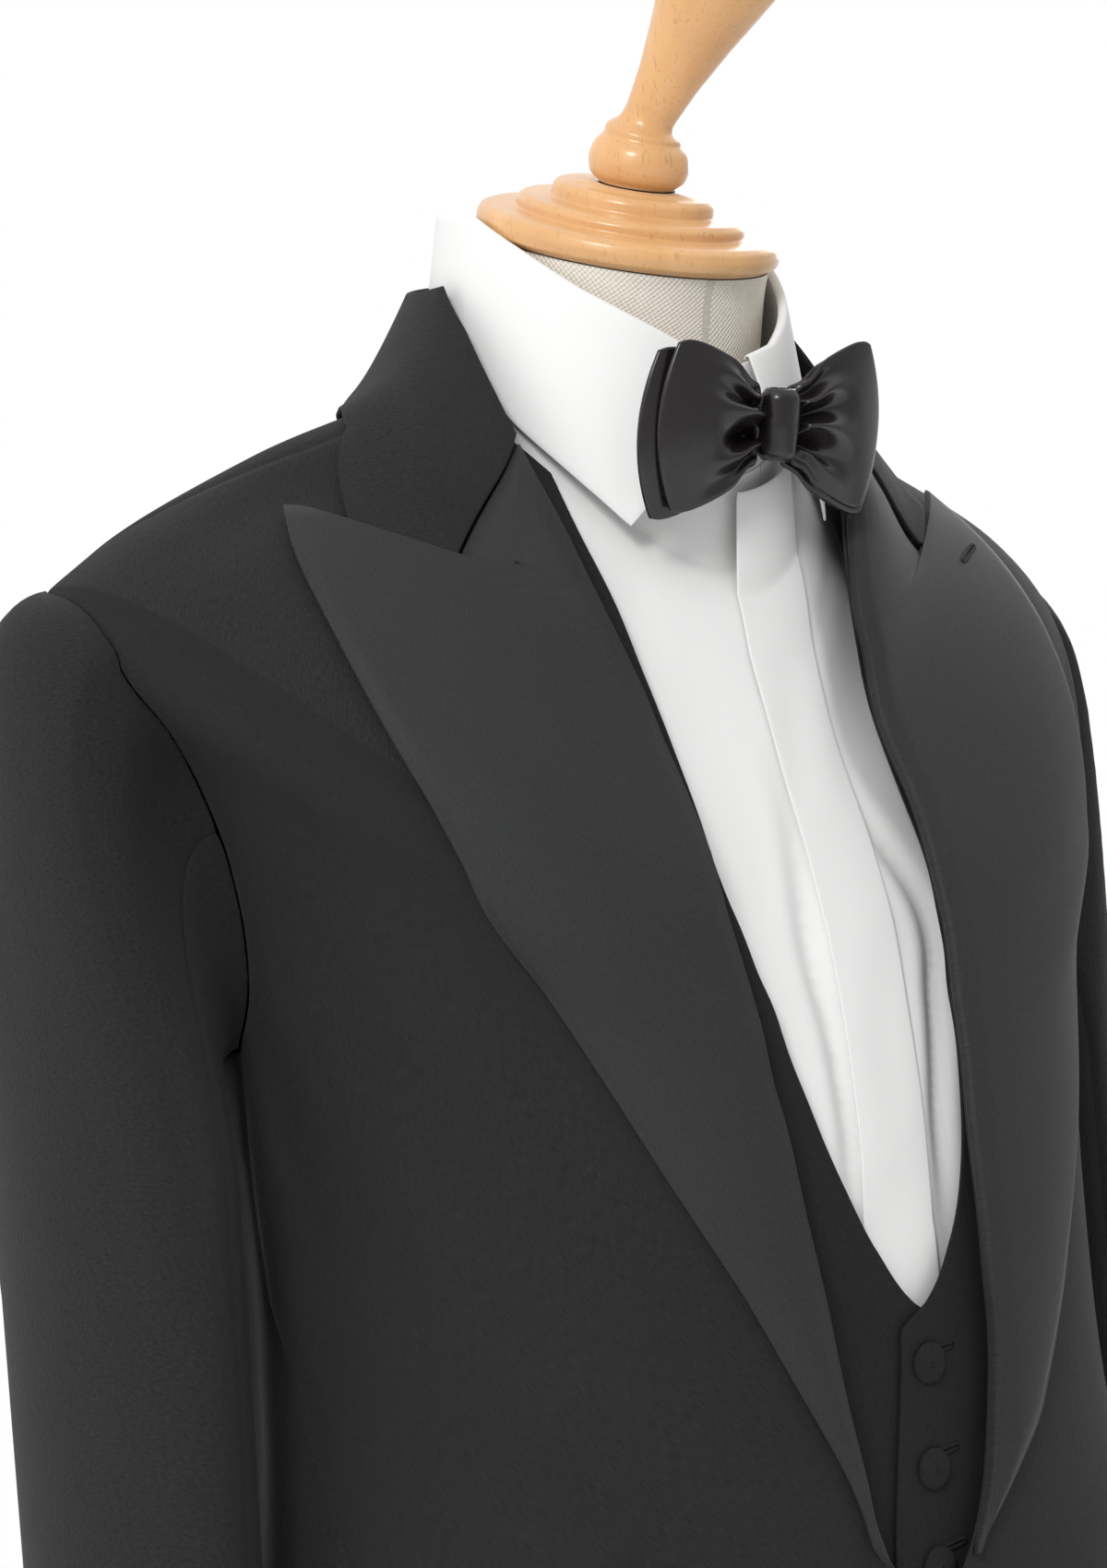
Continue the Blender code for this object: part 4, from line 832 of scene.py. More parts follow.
def add_sleeves(wool, cotton):
    along = np.concatenate([np.linspace(0, 1, 44), np.linspace(1, 5, 84)[1:]])
    low, high = TOP_SLEEVE
    halves = (("top", low, high), ("under", high + SLEEVE_SEAM_TURN, low + 360 - SLEEVE_SEAM_TURN))
    for word, side in SIDES:
        jacket = (side, ARMHOLE_FRONT, ARMHOLE_BACK, 0.0, 0.0)
        lines = paths(SLEEVE_CREASES[word], lambda turn, place, fit=jacket: sleeve_surface(turn, place, *fit))
        for name, start, end in halves:
            turn = start + (end - start) * spread(COLUMNS[name + "_sleeve"])
            outer = sleeve_surface(turn, along[:, None], *jacket)
            normal = sleeve_normal(turn, along[:, None], *jacket)
            outer = valley(creased(outer, normal, lines), normal, (1, 1))
            head = hump(along[:, None], *SLEEVE_HEAD) * (name == "top")
            round_top = np.clip(np.cos(np.radians(turn) * 0.9), 0, 1)
            outer = outer + (head * round_top)[..., None] * normal
            sewn(
                f"sleeve_{name}_{word}", outer, outer - CLOTH_WALL["jacket"] * normal, wool, "jacket_wool",
                [f"shirt_sleeve_{word}"], "hung",
            )
        turn = np.linspace(0, 360, COLUMNS["tube"], endpoint=False)
        shirt = (side, SHIRT_ARM_FRONT, SHIRT_ARM_BACK, SHIRT_DEPTH, SHIRT_SLEEVE_INSET)
        tubes = (("shirt_sleeve", stretches(*SHIRT_SLEEVE_ROWS)), ("shirt_cuff", SHIRT_CUFF_ROWS))
        for name, places in tubes:
            outer = sleeve_surface(turn, np.minimum(places, 5)[:, None], *shirt)
            normal = sleeve_normal(turn, np.minimum(places, 5)[:, None], *shirt)
            below = np.maximum(places - 5, 0) / (SHIRT_CUFF_ROWS[-1] - 5)
            outer[..., 2] -= below[:, None] * SHIRT_CUFF_SHOWS
            sewn(
                f"{name}_{word}", outer, outer - CLOTH_WALL["shirt"] * normal, cotton, "shirt_cotton",
                [f"sleeve_under_{word}"], "hung", wrap=True,
            )


def add_waistcoat(wool, lining):
    front_end = joined(WAISTCOAT_SHOULDER, WAISTCOAT_ARM_FRONT, WAISTCOAT_SIDE)
    back_end = joined(WAISTCOAT_SHOULDER, WAISTCOAT_ARM_BACK, WAISTCOAT_SIDE)
    rows = stretches(
        (WAISTCOAT_TOP, WAISTCOAT_SHOULDER_END, 26), (WAISTCOAT_SHOULDER_END, WAISTCOAT_UNDERARM, 50),
        (WAISTCOAT_UNDERARM, WAISTCOAT_HEM, 50),
    )
    wall = CLOTH_WALL["waistcoat"]

    def lowered(angle, ring):
        share = eased(ring, *WAISTCOAT_POINT["rings"])
        near = np.clip(1 - np.abs(angle - WAISTCOAT_POINT["angle"]) / WAISTCOAT_POINT["reach"], 0, 1)
        return ring + WAISTCOAT_POINT["drop"] * share * near

    for word, side in SIDES:
        depth = overlapped(WAISTCOAT_DEPTH, word, *WAISTCOAT_OVERLAP)
        lines = paths(WAISTCOAT_CREASES, on_trunk(side, WAISTCOAT_DEPTH))
        front = trunk_sheet(
            side, rows, joined(WAISTCOAT_OPENING, WAISTCOAT_FRONT_EDGE), shifted(front_end, -1),
            COLUMNS["waistcoat_front"], depth, wall, lines, (0, 1), lowered,
        )
        sewn(f"waistcoat_front_{word}", *front, wool, "waistcoat_wool", ["form_torso"])
    back = trunk_sheet(
        1, rows, back_end, opposite(back_end), COLUMNS["back"], WAISTCOAT_DEPTH, wall, (), (1, 1),
        lambda angle, ring: lowered(90.0 + 0 * angle, ring),
    )
    sewn("waistcoat_back", *back, lining, "waistcoat_wool", ["form_torso"])


def shirt_depth(depth):
    """The shirt's depth under the jacket, less near the neck, where it lies over the collar stand's foot."""
    return lambda angle, ring: depth - NECK_LIFT * (1 - eased(ring, *NECK_LIFT_ENDS)) + 0 * angle


def with_neck(outer, angles, lift):
    """A front with a few more rows above it, up the collar stand and out of sight under the collar leaf."""
    fold = collar_ring("fold", FOLD_HEIGHTS, np.mod(angles, 360), STAND_INSET - lift)
    climb = NECK_CLIMB * (1 - eased(np.abs(angles), *NECK_CLIMB_ENDS)) + 0.02
    shares = np.linspace(1, 0, 12, endpoint=False)[:, None, None] * climb[:, None]
    return np.concatenate([outer[0] + shares * (fold - outer[0]), outer])


def add_shirt(cotton):
    rows = stretches(
        (0.0, SHIRT_SHOULDER_END, 60), (SHIRT_SHOULDER_END, SHIRT_UNDERARM, 40),
        (SHIRT_UNDERARM, SHIRT_HEM, 44),
    )
    front_end = joined(SHIRT_SHOULDER, SHIRT_ARM_FRONT, SHIRT_SIDE)
    back_end = joined(SHIRT_SHOULDER, SHIRT_ARM_BACK, SHIRT_SIDE)
    wall = CLOTH_WALL["shirt"]
    for word, side in SIDES:
        lines = paths(SHIRT_CREASES[word], on_trunk(side, SHIRT_DEPTH))

        def middle_edge(ring, side=side):
            return side * placket_angle(ring, side * FRONTS_APART)

        side_edge = shifted(front_end, -1)
        depth = shirt_depth(SHIRT_DEPTH)
        columns = COLUMNS["shirt_front"]
        outer, inner = trunk_sheet(side, rows, middle_edge, side_edge, columns, depth, wall, lines, (0, 1))
        start, end = middle_edge(0.0), side_edge(0.0)
        angles = side * (start + (end - start) * spread(columns))
        outer = with_neck(outer, angles, FRONT_OVER_STAND)
        inner = with_neck(inner, angles, FRONT_OVER_STAND - wall)
        sewn(f"shirt_front_{word}", outer, inner, cotton, "shirt_cotton", ["form_torso"])
    back = trunk_sheet(
        1, rows, back_end, opposite(back_end), COLUMNS["back"], SHIRT_DEPTH, wall, (), (1, 1)
    )
    sewn("shirt_back", *back, cotton, "shirt_cotton", ["form_torso"])
    across = (spread(COLUMNS["placket"]) - 0.5) * PLACKET_WIDTH
    strip = np.linspace(*PLACKET_ENDS, 200)
    angle = placket_angle(strip[:, None], across)
    level = np.broadcast_to(strip[:, None], angle.shape)
    depth = shirt_depth(PLACKET_DEPTH)(angle, level)
    outer = torso(angle, level, depth)
    normal = outer - torso(angle, level, depth + 1)
    outer = creased(outer, normal, paths(PLACKET_CREASES, on_trunk(1, PLACKET_DEPTH)))
    inner = outer - CLOTH_WALL["placket"] * normal
    outer = with_neck(outer, angle[0], PLACKET_OVER_STAND)
    inner = with_neck(inner, angle[0], PLACKET_OVER_STAND - CLOTH_WALL["placket"])
    sewn("shirt_placket", outer, inner, cotton, "shirt_cotton", ["shirt_front_right", "shirt_front_left"])


def add_shirt_collar(cotton):
    wall = CLOTH_WALL["placket"]
    closed = np.linspace(STAND_START, 360 - STAND_START, 240)
    seat = SHIRT_DEPTH - STAND_LIFT
    grids = []
    for inward, depth in ((STAND_INSET, seat - STAND_WALL), (STAND_INSET + wall, seat - STAND_WALL + wall)):
        fold = collar_ring("fold", FOLD_HEIGHTS, closed, inward)
        fold[:, 2] -= STAND_BELOW_FOLD
        seam, foot = torso(closed, 0.0, depth), torso(closed, STAND_FOOT, depth)
        grids.append(np.concatenate([between(fold, seam, 14), between(seam, foot, 4)[1:]]))
    sewn("shirt_collar_stand", *grids, cotton, "shirt_cotton", ["form_torso"])
    around = np.linspace(LEAF_START, 360 - LEAF_START, 260)
    turns = np.radians(np.linspace(170, 0, 7))
    grids = []
    for inset in (0.0, wall):
        radius = LEAF_ROLL - inset
        over = []
        for turn in turns:
            ring = collar_ring("fold", FOLD_HEIGHTS, around, LEAF_ROLL - radius * np.cos(turn))
            ring[:, 2] += radius * np.sin(turn) - LEAF_SETTLES
            over.append(ring)
        fold = collar_ring("fold", FOLD_HEIGHTS, around, inset)
        fall = between(fold, collar_ring("leaf", LEAF_HEIGHTS, around, inset), 26)
        grids.append(np.concatenate([np.stack(over), fall[1:]]))
    sewn("shirt_collar_leaf", *grids, cotton, "shirt_cotton", ["shirt_collar_stand"], "folded")


# Pleats of the bow tie's wings: how high on the knot each starts (-1 to 1), how far it fans, its width as
# a share of the wing's half height, how far out it runs and how deep it is.
BOW_PLEATS = {
    "right": (
        ("deep lower hollow", -0.2, 0.25, 0.19, 0.62, 9.0),
        ("upper fold", 0.42, 0.35, 0.13, 0.8, 4.6),
        ("low fold", -0.66, 0.3, 0.12, 0.85, 3.8),
        ("middle ripple", 0.1, 0.3, 0.1, 0.34, 2.2),
        ("top tuck", 0.8, 0.1, 0.1, 0.5, 1.6),
    ),
    "left": (
        ("deep upper hollow", 0.22, 0.3, 0.15, 0.7, 8.0),
        ("lower hollow", -0.42, 0.35, 0.16, 0.75, 7.0),
        ("top fold", 0.72, 0.2, 0.11, 0.66, 2.6),
        ("low fold", -0.8, 0.15, 0.1, 0.6, 2.0),
    ),
}


# A pleat rises up to PLEAT_STARTS from the knot, and fades from PLEAT_FULL to its own end.
PLEAT_STARTS, PLEAT_FULL = 0.06, 0.12


def bow_wing(side, layer, pleats):
    """One layer of a wing at every place from the knot (out 0) to its tip (out 1)."""
    out, up = np.meshgrid(np.linspace(0, 1, 70), np.linspace(-1, 1, 70), indexing="ij")
    longer = BOW_REACH + BACK_LAYER_LONGER * layer + BOW_TIP_CURVE * (1 - up**2) * out
    reach = BOW_START + longer * out
    half = (BOW_HALF_START + BOW_HALF_GROWS * out**BOW_FLARE) * (1 - BOW_TIP_ROUND * out**9)
    x = BOW_CENTRE[0] + side * reach
    waist = 1 - hump(out, *BOW_WAIST)
    z = BOW_CENTRE[2] + up * half * waist - BACK_LAYER_LOWER * layer * out
    puff = BOW_PUFF * np.sin(np.pi * out) ** 0.8 * np.cos(up * 1.3)
    lean = (z - BOW_CENTRE[2]) * np.tan(np.radians(BOW_LEAN))
    y = BOW_CENTRE[1] + reach * np.tan(np.radians(BOW_SWEEP)) - puff + BACK_LAYER_BEHIND * layer - lean
    for _, high, fan, width, far, depth in pleats:
        line = high * (1 + fan * out)
        near = hump(up, 1, width * (1 + PLEAT_WIDENS * out), line)
        ridge = hump(np.abs(up - line), RIDGE_HEIGHT, width, RIDGE_AWAY * width)
        fade = (1 - eased(out, PLEAT_FULL, far)) * eased(out, 0, PLEAT_STARTS)
        fade *= 1 - BACK_LAYER_FLATTER * layer
        y += depth * (near - ridge) * fade
    front = np.stack([x, y - BOW_FRONT, z], axis=-1)
    return front, front + np.array([0, BOW_WALL, 0])


def add_bow_tie(satin):
    for word, side in SIDES:
        for name, layer in (("front", 0), ("back", 1)):
            front, back = bow_wing(side, layer, BOW_PLEATS[word])
            sewn(f"bow_{name}_{word}", front, back, satin, "bow_satin", ["bow_knot"], "folded")
    lean = np.radians(BOW_LEAN)
    centre = np.array(BOW_CENTRE) - np.array([0, KNOT_AHEAD, 0])
    axis = np.array([0, -np.sin(lean), np.cos(lean)])
    ahead = np.array([0, np.cos(lean), np.sin(lean)])
    turn = np.linspace(0, 2 * np.pi, 72, endpoint=False)
    heights = np.linspace(KNOT_HALF_HEIGHT, -KNOT_HALF_HEIGHT, 30)
    spoke = np.cos(turn)[:, None] * np.array([1, 0, 0]) + np.sin(turn)[:, None] * ahead
    grids = []
    for inset in (0.0, KNOT_WALL):
        rings = []
        for height in heights:
            radius = np.interp(abs(height), KNOT_HEIGHTS, KNOT_RADII) - inset
            pleat = KNOT_PLEAT * np.cos(KNOT_PLEAT_TURNS * turn + KNOT_PLEAT_LEANS * height)
            rings.append(centre + height * axis + (radius + pleat)[:, None] * spoke)
        grids.append(np.stack(rings))
    sewn("bow_knot", *grids, satin, "bow_satin", ["shirt_collar_stand"], "folded", wrap=True)


def turned(name, profile, finish, steps, base, axis, node):
    """A turned piece through a profile of (radius, height) with rounded corners."""
    axis = unit(np.array(axis, float))
    side = unit(np.cross(axis, (1, 0, 0)))
    other = np.cross(axis, side)
    turns = np.linspace(0, 2 * np.pi, steps, endpoint=False)
    spoke = np.cos(turns)[:, None] * side + np.sin(turns)[:, None] * other
    curve = softened(np.array(profile, float), CORNER_STEPS, CORNER_RADIUS)
    rings = np.stack([np.array(base) + height * axis + radius * spoke for radius, height in curve])
    return lofted(name, rings, finish, node, (side, other))


def softened(profile, steps, radius):
    """A profile with its corners rounded."""
    points = [profile[0]]
    for before, corner, after in zip(profile[:-2], profile[1:-1], profile[2:]):
        first = before - corner
        last = after - corner
        reach = min(radius, np.linalg.norm(first) * 0.4, np.linalg.norm(last) * 0.4)
        start, end = corner + unit(first) * reach, corner + unit(last) * reach
        for t in np.linspace(0, 1, steps):
            points.append((1 - t) ** 2 * start + 2 * t * (1 - t) * corner + t**2 * end)
    points.append(profile[-1])
    return np.array(points)


def lofted(name, rings, finish, node, plane=None):
    """A closed piece through rings of equal counts, each end drawn to its middle; its cloth lies round it, or
    flat on a plane given by two directions."""
    count, size = rings.shape[:2]
    caps = np.stack([rings[0].mean(axis=0), rings[-1].mean(axis=0)])
    points = np.concatenate([rings.reshape(-1, 3), caps])
    if plane:
        flat = points @ np.stack(plane, axis=-1)
    else:
        wrapped = np.concatenate([rings, rings[:, :1]], axis=1)
        flat = np.stack([arc_lengths(wrapped, 1)[:, :-1], arc_lengths(rings, 0)], axis=-1).reshape(-1, 2)
        flat = np.concatenate([flat, flat[:1], flat[-1:]])
    faces = grid_faces(count, size, True).tolist()
    top, bottom = count * size, count * size + 1
    low = (count - 1) * size
    for col in range(size):
        after = (col + 1) % size
        faces.append([after, col, top])
        faces.append([low + col, low + after, bottom])
    step = max(1, len(faces) // FACES_SAMPLED)
    if sum(np.dot(points[f[0]], np.cross(points[f[1]], points[f[2]])) for f in faces[::step]) < 0:
        faces = [face[::-1] for face in faces]
    piece = made_object(name, points, faces, flat, finish)
    stand_for(piece, node)
    return piece


def add_button(node, ring, depth, finish):
    place = torso(0.0, ring, depth)
    out = place - torso(0.0, ring, depth + 1)
    profile = [(BUTTON_RADIUS * share, height) for share, height in BUTTON_PROFILE]
    turned(node + "_covered", profile, finish, 48, place, out, node)


def add_buttonhole(name, centre, along, normal, length, finish):
    """A worked buttonhole: a ridge of close stitches round a slit."""
    along = unit(along)
    across = np.cross(normal, along)
    turn = np.linspace(0, 2 * np.pi, 96, endpoint=False)
    slit = (length / 2 - HOLE_END) * np.clip(np.cos(turn) / HOLE_ROUNDS, -1, 1)
    path = centre + slit[:, None] * along + np.sin(turn)[:, None] * across
    path = path + (HOLE_BULGE * np.cos(turn) * (np.abs(np.cos(turn)) > HOLE_ROUNDS))[:, None] * along
    away = unit(np.roll(path, -1, axis=0) - np.roll(path, 1, axis=0))
    beside = np.cross(away, normal)
    around = np.linspace(0, 2 * np.pi, 10, endpoint=False)
    thick = THREAD + THREAD_RIDGE * np.cos(HOLE_STITCHES * turn)
    rings = np.stack([
        path + thick[:, None] * (np.cos(a) * beside + np.sin(a) * normal) for a in around
    ], axis=1)
    points = rings.reshape(-1, 3)
    grid = np.arange(len(points)).reshape(len(path), len(around))
    after = np.roll(grid, -1, axis=0)
    corners = (grid, after, np.roll(after, -1, axis=1), np.roll(grid, -1, axis=1))
    faces = np.stack(corners, axis=-1).reshape(-1, 4)
    if enclosed(points, faces) < 0:
        faces = faces[:, ::-1]
    flat = np.stack(np.divmod(np.arange(len(points), dtype=float), len(around)), axis=-1)
    piece = made_object(name, points, faces, flat, finish)
    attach(piece, "root")


def add_form(linen, beech):
    turn = np.linspace(0, 360, 96, endpoint=False)
    axis = unit(np.array(CAP_AXIS))
    ahead = np.cross(axis, (1, 0, 0))
    rad = np.radians(turn)[:, None]

    def neck_ring(radius, height):
        return np.array(CAP_CENTRE) + height * axis + radius * (
            np.sin(rad) * np.array([1, 0, 0]) - np.cos(rad) * ahead * np.sign(ahead[1])
        )

    levels = stretches((0, 1, 11), (1, 6, 49), (6, FORM_BOTTOM, 29))
    to_back = eased(180 - np.abs(turn - 180), *FORM_BACK_STARTS)
    neck_depth = FORM_DEPTH + (FORM_BACK_DEPTH - FORM_DEPTH) * to_back
    to_shoulder = eased(levels[:, None], *FORM_SHOULDER_STARTS)
    body = torso(turn, levels[:, None], neck_depth + (FORM_SHOULDER_DEPTH - neck_depth) * to_shoulder)
    ends = [neck_ring(NECK_RADIUS + wider, height) for wider, height in NECK_ENDS]
    ends[2] = (1 - NECK_BLEND) * ends[2] + NECK_BLEND * body[0]
    keys = np.stack([*ends, body[0], body[2]])
    neck = smooth_through(keys, NECK_STEPS)
    low = body[-1].copy()
    low[:, 2] = low[:, 2].min()
    rings = np.concatenate([neck, body[1:-1], low[None]])
    lofted("form_torso_linen", rings, linen, "form_torso")
    turned("form_neck_cap_wood", CAP_PROFILE, beech, 96, CAP_CENTRE, CAP_AXIS, "form_neck_cap")
    fine = np.linspace(0, 2 * np.pi, 72, endpoint=False)[:, None]
    finial = softened(np.array(FINIAL_PROFILE, float), FINIAL_CORNER_STEPS, FINIAL_CORNER_RADIUS)
    lofted("form_finial_wood", bent_rings(finial, fine), beech, "form_finial")
    top = low[0, 2] - WOOD_GAP
    pole = [(POLE_RADIUS + wider, top - lower) for wider, lower in POLE_COLLAR]
    pole.append((POLE_RADIUS, BASE_PROFILE[-1][1] + WOOD_GAP))
    turned("form_pole_wood", pole, beech, 72, (0, 0, 0), (0, 0, 1), "form_pole")
    turned("form_base_wood", BASE_PROFILE, beech, 120, (0, 0, 0), (0, 0, 1), "form_base")


def smooth_through(keys, counts):
    """Rings along a smooth curve through the first rings of a list, up to the last but one."""
    rings = []
    for place, count in enumerate(counts):
        for t in np.linspace(0, 1, count, endpoint=place == len(counts) - 1):
            rings.append(spline(keys, np.array(place + t)))
    return np.stack(rings)


class Nodes:
    """A short way to add and join shader nodes."""

    def __init__(self, tree):
        self.tree = tree
        tree.nodes.clear()

    def add(self, kind, given=None, **settings):
        node = self.tree.nodes.new(kind)
        for name, value in settings.items():
            setattr(node, name, value)
        for name, value in (given or {}).items():
            if isinstance(value, bpy.types.NodeSocket):
                self.tree.links.new(value, node.inputs[name])
            else:
                node.inputs[name].default_value = value
        return node

    def math(self, operation, *values):
        return self.add("ShaderNodeMath", dict(enumerate(values)), operation=operation).outputs[0]

    def noise(self, vector, scale, detail=3.0, roughness=0.55):
        given = {"Vector": vector, "Scale": scale, "Detail": detail, "Roughness": roughness}
        return self.add("ShaderNodeTexNoise", given).outputs["Fac"]

    def stretched(self, vector, scales):
        return self.add("ShaderNodeMapping", {"Vector": vector, "Scale": scales}).outputs[0]

    def mix(self, factor, first, second):
        return self.add("ShaderNodeMix", {0: factor, 6: first, 7: second}, data_type="RGBA").outputs[2]

    def finished(self, given):
        shader = self.add("ShaderNodeBsdfPrincipled", given)
        self.add("ShaderNodeOutputMaterial", {"Surface": shader.outputs[0]})


def new_finish(name):
    """A new material and a writer for its nodes."""
    finish = bpy.data.materials.new(name)
    finish.use_nodes = True
    return finish, Nodes(finish.node_tree)


def shade(level, tint=(1, 1, 1)):
    return (level * tint[0], level * tint[1], level * tint[2], 1.0)


# Sizes of the weave's unevenness, in repeats to a metre; the twill's are shares of its pitch.
WOBBLE_SCALE, FIBRE_SCALE, BROAD_SCALE = 220.0, 1400.0, 9.0
TWILL_ACROSS, TWILL_AHEAD = 1.25, 0.3
SLUB_LONG, SLUB_THICK = 60.0, 900.0
# How much the threads waver and stand out, how much the colour follows the fibres and the broad patches, and
# how far the fibres rise and roughen the cloth. BUMP_REACH is a share of the pitch.
SATIN_WAVER, PLAIN_WAVER = 3.0, 1.6
TWILL_CONTRAST, SATIN_CONTRAST = 3.6, 0.6
FIBRE_TONE, BROAD_TONE, TONE_DARKER = 1.6, 0.25, 0.22
FIBRE_HEIGHT, FIBRE_ROUGHNESS, BUMP_REACH = 0.35, 0.12, 0.35


def weave_finish(
    name, dark, light, pitch, kind, roughness, specular, bump, sheen=0.0, melange=0.35, slub=0.0
):
    """Woven cloth: pitch is the weave's repeat in metres, and melange how unevenly the yarn is dyed."""
    finish, n = new_finish(name)
    place = n.add("ShaderNodeUVMap", uv_map="cloth").outputs["UV"]
    wobble = n.noise(place, WOBBLE_SCALE)
    axes = n.add("ShaderNodeSeparateXYZ", {"Vector": place}).outputs
    u, v = axes[0], axes[1]

    def threads(across, waver):
        repeats = n.math("MULTIPLY", across, 2 * np.pi / pitch)
        return n.math("SINE", n.math("MULTIPLY_ADD", wobble, waver, repeats))

    if kind == "twill":
        across = n.math("MULTIPLY", n.math("ADD", u, v), TWILL_ACROSS / pitch)
        ahead = n.math("MULTIPLY", n.math("SUBTRACT", u, v), TWILL_AHEAD / pitch)
        slanted = n.add("ShaderNodeCombineXYZ", {"X": across, "Y": ahead}).outputs[0]
        weave = n.math("MULTIPLY_ADD", n.noise(slanted, 1.0, 2.0), TWILL_CONTRAST, -TWILL_CONTRAST / 2)
    elif kind == "satin":
        weave = n.math("MULTIPLY", threads(u, SATIN_WAVER), SATIN_CONTRAST)
    else:
        weave = n.math("MULTIPLY", threads(u, PLAIN_WAVER), threads(v, PLAIN_WAVER))
    raised = n.math("MULTIPLY_ADD", weave, 0.5, 0.5)
    fibre = n.noise(place, FIBRE_SCALE, 4.0, 0.7)
    broad = n.noise(place, BROAD_SCALE, 2.0)
    dyed = n.math("MULTIPLY", fibre, melange * FIBRE_TONE)
    tone = n.math("ADD", n.math("MULTIPLY", raised, 1 - melange), dyed)
    tone = n.math("MULTIPLY_ADD", broad, BROAD_TONE, n.math("SUBTRACT", tone, TONE_DARKER))
    if slub:
        warps = n.stretched(place, (SLUB_LONG, SLUB_THICK, 1.0))
        wefts = n.stretched(place, (SLUB_THICK, SLUB_LONG, 1.0))
        uneven = n.math("ADD", n.noise(warps, 1.0), n.noise(wefts, 1.0))
        tone = n.math("MULTIPLY_ADD", n.math("SUBTRACT", uneven, 1.0), slub, tone)
    color = n.mix(n.math("MINIMUM", n.math("MAXIMUM", tone, 0.0), 1.0), dark, light)
    height = n.math("MULTIPLY_ADD", fibre, FIBRE_HEIGHT, raised)
    surface = n.add("ShaderNodeBump", {"Height": height, "Strength": bump, "Distance": pitch * BUMP_REACH})
    rough = n.math("MULTIPLY_ADD", fibre, FIBRE_ROUGHNESS, roughness - FIBRE_ROUGHNESS / 2)
    n.finished({
        "Base Color": color, "Roughness": rough, "Specular IOR Level": specular, "Sheen Weight": sheen,
        "Sheen Roughness": 0.5, "Normal": surface.outputs[0],
    })
    return finish


# The beech's grain and its flecks: repeats to a metre, and colours; a fleck shows above a level of its noise.
BEECH_GRAIN, BEECH_PORES = (34.0, 34.0, 5.0), (900.0, 900.0, 90.0)
BEECH_DARK, BEECH_LIGHT, BEECH_FLECK = (0.60, 0.30, 0.115, 1), (0.86, 0.52, 0.235, 1), (0.40, 0.19, 0.07, 1)
FLECK_LEVEL, FLECK_STRENGTH = 0.63, 0.35


def beech_finish(name):
    finish, n = new_finish(name)
    place = n.add("ShaderNodeTexCoord").outputs["Object"]
    rings = n.noise(n.stretched(place, BEECH_GRAIN), 1.0, 4.0, 0.6)
    flecks = n.noise(n.stretched(place, BEECH_PORES), 1.0, 2.0, 0.6)
    fleck = n.math("MULTIPLY", n.math("GREATER_THAN", flecks, FLECK_LEVEL), FLECK_STRENGTH)
    color = n.mix(fleck, n.mix(rings, BEECH_DARK, BEECH_LIGHT), BEECH_FLECK)
    surface = n.add("ShaderNodeBump", {"Height": flecks, "Strength": 0.06, "Distance": 0.0004})
    n.finished({
        "Base Color": color, "Roughness": n.math("MULTIPLY_ADD", rings, 0.12, 0.30), "Coat Weight": 0.35,
        "Coat Roughness": 0.16, "Normal": surface.outputs[0],
    })
    return finish


# The floor's radius in metres, and its two tones.
FLOOR_RADIUS, FLOOR_TONES = 1.9, (0.80, 0.84)


def add_floor():
    mesh = bpy.data.meshes.new("floor")
    turn = np.linspace(0, 2 * np.pi, 96, endpoint=False)
    corners = np.stack([FLOOR_RADIUS * np.cos(turn), FLOOR_RADIUS * np.sin(turn), 0 * turn], axis=-1)
    mesh.from_pydata(corners.tolist(), [], [list(range(len(turn)))])
    floor = linked("floor", mesh)
    finish, n = new_finish("pale_floor")
    place = n.add("ShaderNodeTexCoord").outputs["Object"]
    color = n.mix(n.noise(place, 3.0), *(shade(tone) for tone in FLOOR_TONES))
    n.finished({"Base Color": color, "Roughness": 0.9, "Specular IOR Level": 0.1})
    mesh.materials.append(finish)


# Lights: place and target in metres, size in metres and power in watts.
LIGHTS = (
    ("key high left", -2.0, -1.6, 2.1, 0, 0, 0.8, 0.8, 40),
    ("window behind", 1.9, 1.2, 1.7, 0, 0, 0.8, 1.2, 14),
)
# The studio is brightest behind the object and above it, and darker towards its front and right.
BRIGHT_SIDE = (-0.1, 0.72, 0.69)
WORLD_LIGHT, WORLD_DARK, WORLD_TURNS = 1.0, 0.46, (-0.5, 0.35)


def aimed(direction, up):
    """A rotation that looks along a direction, as Blender's cameras and lights look along their own -Z."""
    back = unit(-np.array(direction, float))
    right = unit(np.cross(up, back))
    return Matrix(np.stack([right, np.cross(back, right), back], axis=-1).tolist()).to_4x4()


def add_lights():
    for name, x, y, z, to_x, to_y, to_z, size, power in LIGHTS:
        lamp = bpy.data.lights.new(name, "AREA")
        lamp.shape = "DISK"
        lamp.size = size
        lamp.energy = power
        thing = linked(name, lamp)
        place = np.array([x, y, z])
        thing.matrix_world = aimed(np.array([to_x, to_y, to_z]) - place, (0.01, 0, 1))
        thing.location = place
    world = bpy.data.worlds.new("studio")
    bpy.context.scene.world = world
    world.use_nodes = True
    n = Nodes(world.node_tree)
    towards = n.add("ShaderNodeTexCoord").outputs["Generated"]
    facing = n.add("ShaderNodeVectorMath", {0: towards, 1: BRIGHT_SIDE}, operation="DOT_PRODUCT")
    given = {
        "Value": facing.outputs["Value"], "From Min": WORLD_TURNS[0], "From Max": WORLD_TURNS[1],
        "To Min": WORLD_DARK, "To Max": WORLD_LIGHT,
    }
    level = n.add("ShaderNodeMapRange", given, interpolation_type="SMOOTHSTEP")
    sky = n.add("ShaderNodeBackground", {"Color": (1, 1, 1, 1), "Strength": level.outputs["Result"]})
    n.add("ShaderNodeOutputWorld", {"Surface": sky.outputs[0]})


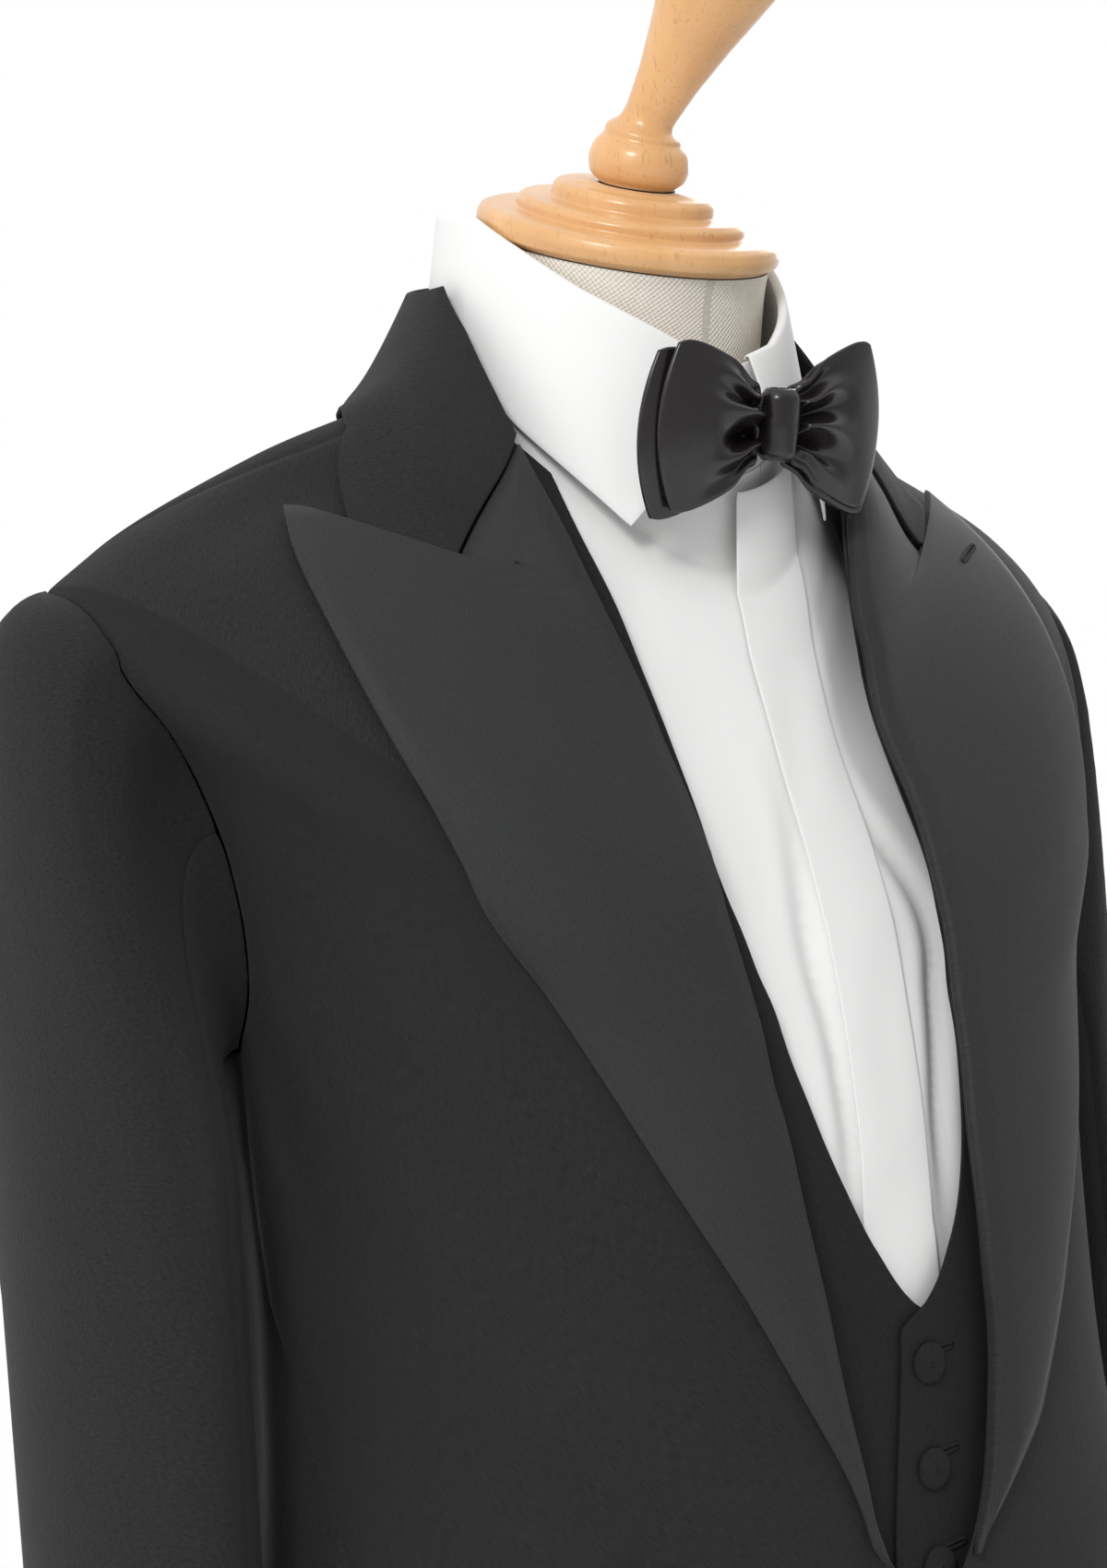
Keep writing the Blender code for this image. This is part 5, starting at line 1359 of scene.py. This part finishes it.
# The camera, fitted to the seams and edges in the photograph.
CAMERA_PLACE = (-934.06, -1173.86, -176.68)
CAMERA_YAW, CAMERA_PITCH, CAMERA_ROLL = 37.03, -0.63, -5.07
FOCAL_PIXELS, LONG_SIDE = 4063.03, 1700
CLIP_RANGE = (0.05, 60)


def add_camera():
    yaw, pitch, roll = np.radians((CAMERA_YAW, CAMERA_PITCH, CAMERA_ROLL))
    level = np.array([np.sin(yaw), np.cos(yaw), 0])
    beside = np.array([np.cos(yaw), -np.sin(yaw), 0])
    above = np.array([0, 0, 1.0])
    look = level * np.cos(pitch) - above * np.sin(pitch)
    high = above * np.cos(pitch) + level * np.sin(pitch)
    right = beside * np.cos(roll) + high * np.sin(roll)
    up = high * np.cos(roll) - beside * np.sin(roll)
    lens = bpy.data.cameras.new("camera")
    lens.lens = FOCAL_PIXELS * lens.sensor_width / LONG_SIDE
    lens.clip_start, lens.clip_end = CLIP_RANGE
    camera = linked("camera", lens)
    camera.matrix_world = Matrix(np.stack([right, up, -look], axis=-1).tolist()).to_4x4()
    camera.location = (np.array(CAMERA_PLACE) + np.array([0, 0, NAPE])) * MM
    bpy.context.scene.camera = camera


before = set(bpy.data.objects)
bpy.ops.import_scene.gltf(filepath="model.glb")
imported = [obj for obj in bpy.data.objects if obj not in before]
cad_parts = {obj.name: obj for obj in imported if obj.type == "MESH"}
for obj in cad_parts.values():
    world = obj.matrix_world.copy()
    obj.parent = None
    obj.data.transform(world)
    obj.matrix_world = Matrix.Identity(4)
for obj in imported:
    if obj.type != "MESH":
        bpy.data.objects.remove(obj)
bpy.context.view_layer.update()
add_camera()
COOL = (0.97, 1, 1.06)
wool = weave_finish(
    "wool_twill", shade(0.008), shade(0.030, (1, 1, 1.03)), 0.0013, "twill", 0.82, 0.14, 0.6, sheen=0.05
)
vest = weave_finish(
    "waistcoat_twill", shade(0.006), shade(0.024, (1, 1, 1.03)), 0.0013, "twill", 0.8, 0.14, 0.6, sheen=0.04
)
facing = weave_finish(
    "facing_barathea", shade(0.012, COOL), shade(0.034, COOL), 0.0010, "twill", 0.62, 0.24, 0.35, sheen=0.05
)
satin = weave_finish(
    "bow_satin_weave", shade(0.004, (1.2, 0.9, 1.05)), shade(0.011, (1.25, 0.88, 1)), 0.0004, "satin", 0.27,
    0.62, 0.05, melange=0.2,
)
lining = weave_finish("waistcoat_back_satin", shade(0.006), shade(0.013), 0.0005, "satin", 0.42, 0.4, 0.1)
cotton = weave_finish(
    "shirt_poplin", shade(0.76, (1, 0.99, 0.975)), shade(0.86), 0.0006, "plain", 0.85, 0.2, 0.12, melange=0.5
)
linen = weave_finish(
    "form_linen_weave", (0.72, 0.65, 0.54, 1), (0.97, 0.93, 0.86, 1), 0.0022, "plain", 0.9, 0.15, 0.55,
    melange=0.25, slub=0.4,
)
beech = beech_finish("varnished_beech_grain")
add_jacket_trunk(wool)
add_lapels(facing)
add_collar(wool)
add_sleeves(wool, cotton)
add_waistcoat(vest, lining)
add_shirt(cotton)
add_shirt_collar(cotton)
add_bow_tie(satin)
for number, ring in enumerate(WAISTCOAT_BUTTONS, 1):
    add_button(f"waistcoat_button_{number}", ring, WAISTCOAT_DEPTH, vest)
    (angle, above), (angle_to, above_to) = WAISTCOAT_HOLE, WAISTCOAT_HOLE_TO
    place = torso(angle, ring + above, WAISTCOAT_DEPTH - HOLE_LIFT)
    out = place - torso(angle, ring + above, WAISTCOAT_DEPTH - HOLE_LIFT + 1)
    along = torso(angle_to, ring + above_to, WAISTCOAT_DEPTH) - place
    add_buttonhole(f"waistcoat_buttonhole_{number}", place, along, out, WAISTCOAT_HOLE_LENGTH, vest)
add_button("jacket_button", JACKET_BUTTON, 0.0, facing)
place = turned_out(*LAPEL_HOLE, LAPEL_LIFT + LAPEL_HOLE_LIFT)
out = place - turned_out(*LAPEL_HOLE, LAPEL_LIFT)
along = turned_out(*LAPEL_HOLE_TO, LAPEL_LIFT + LAPEL_HOLE_LIFT) - place
add_buttonhole("lapel_buttonhole", place, along, out, LAPEL_HOLE_LENGTH, facing)
add_form(linen, beech)
add_floor()
add_lights()
bpy.context.scene.view_settings.view_transform = "Standard"
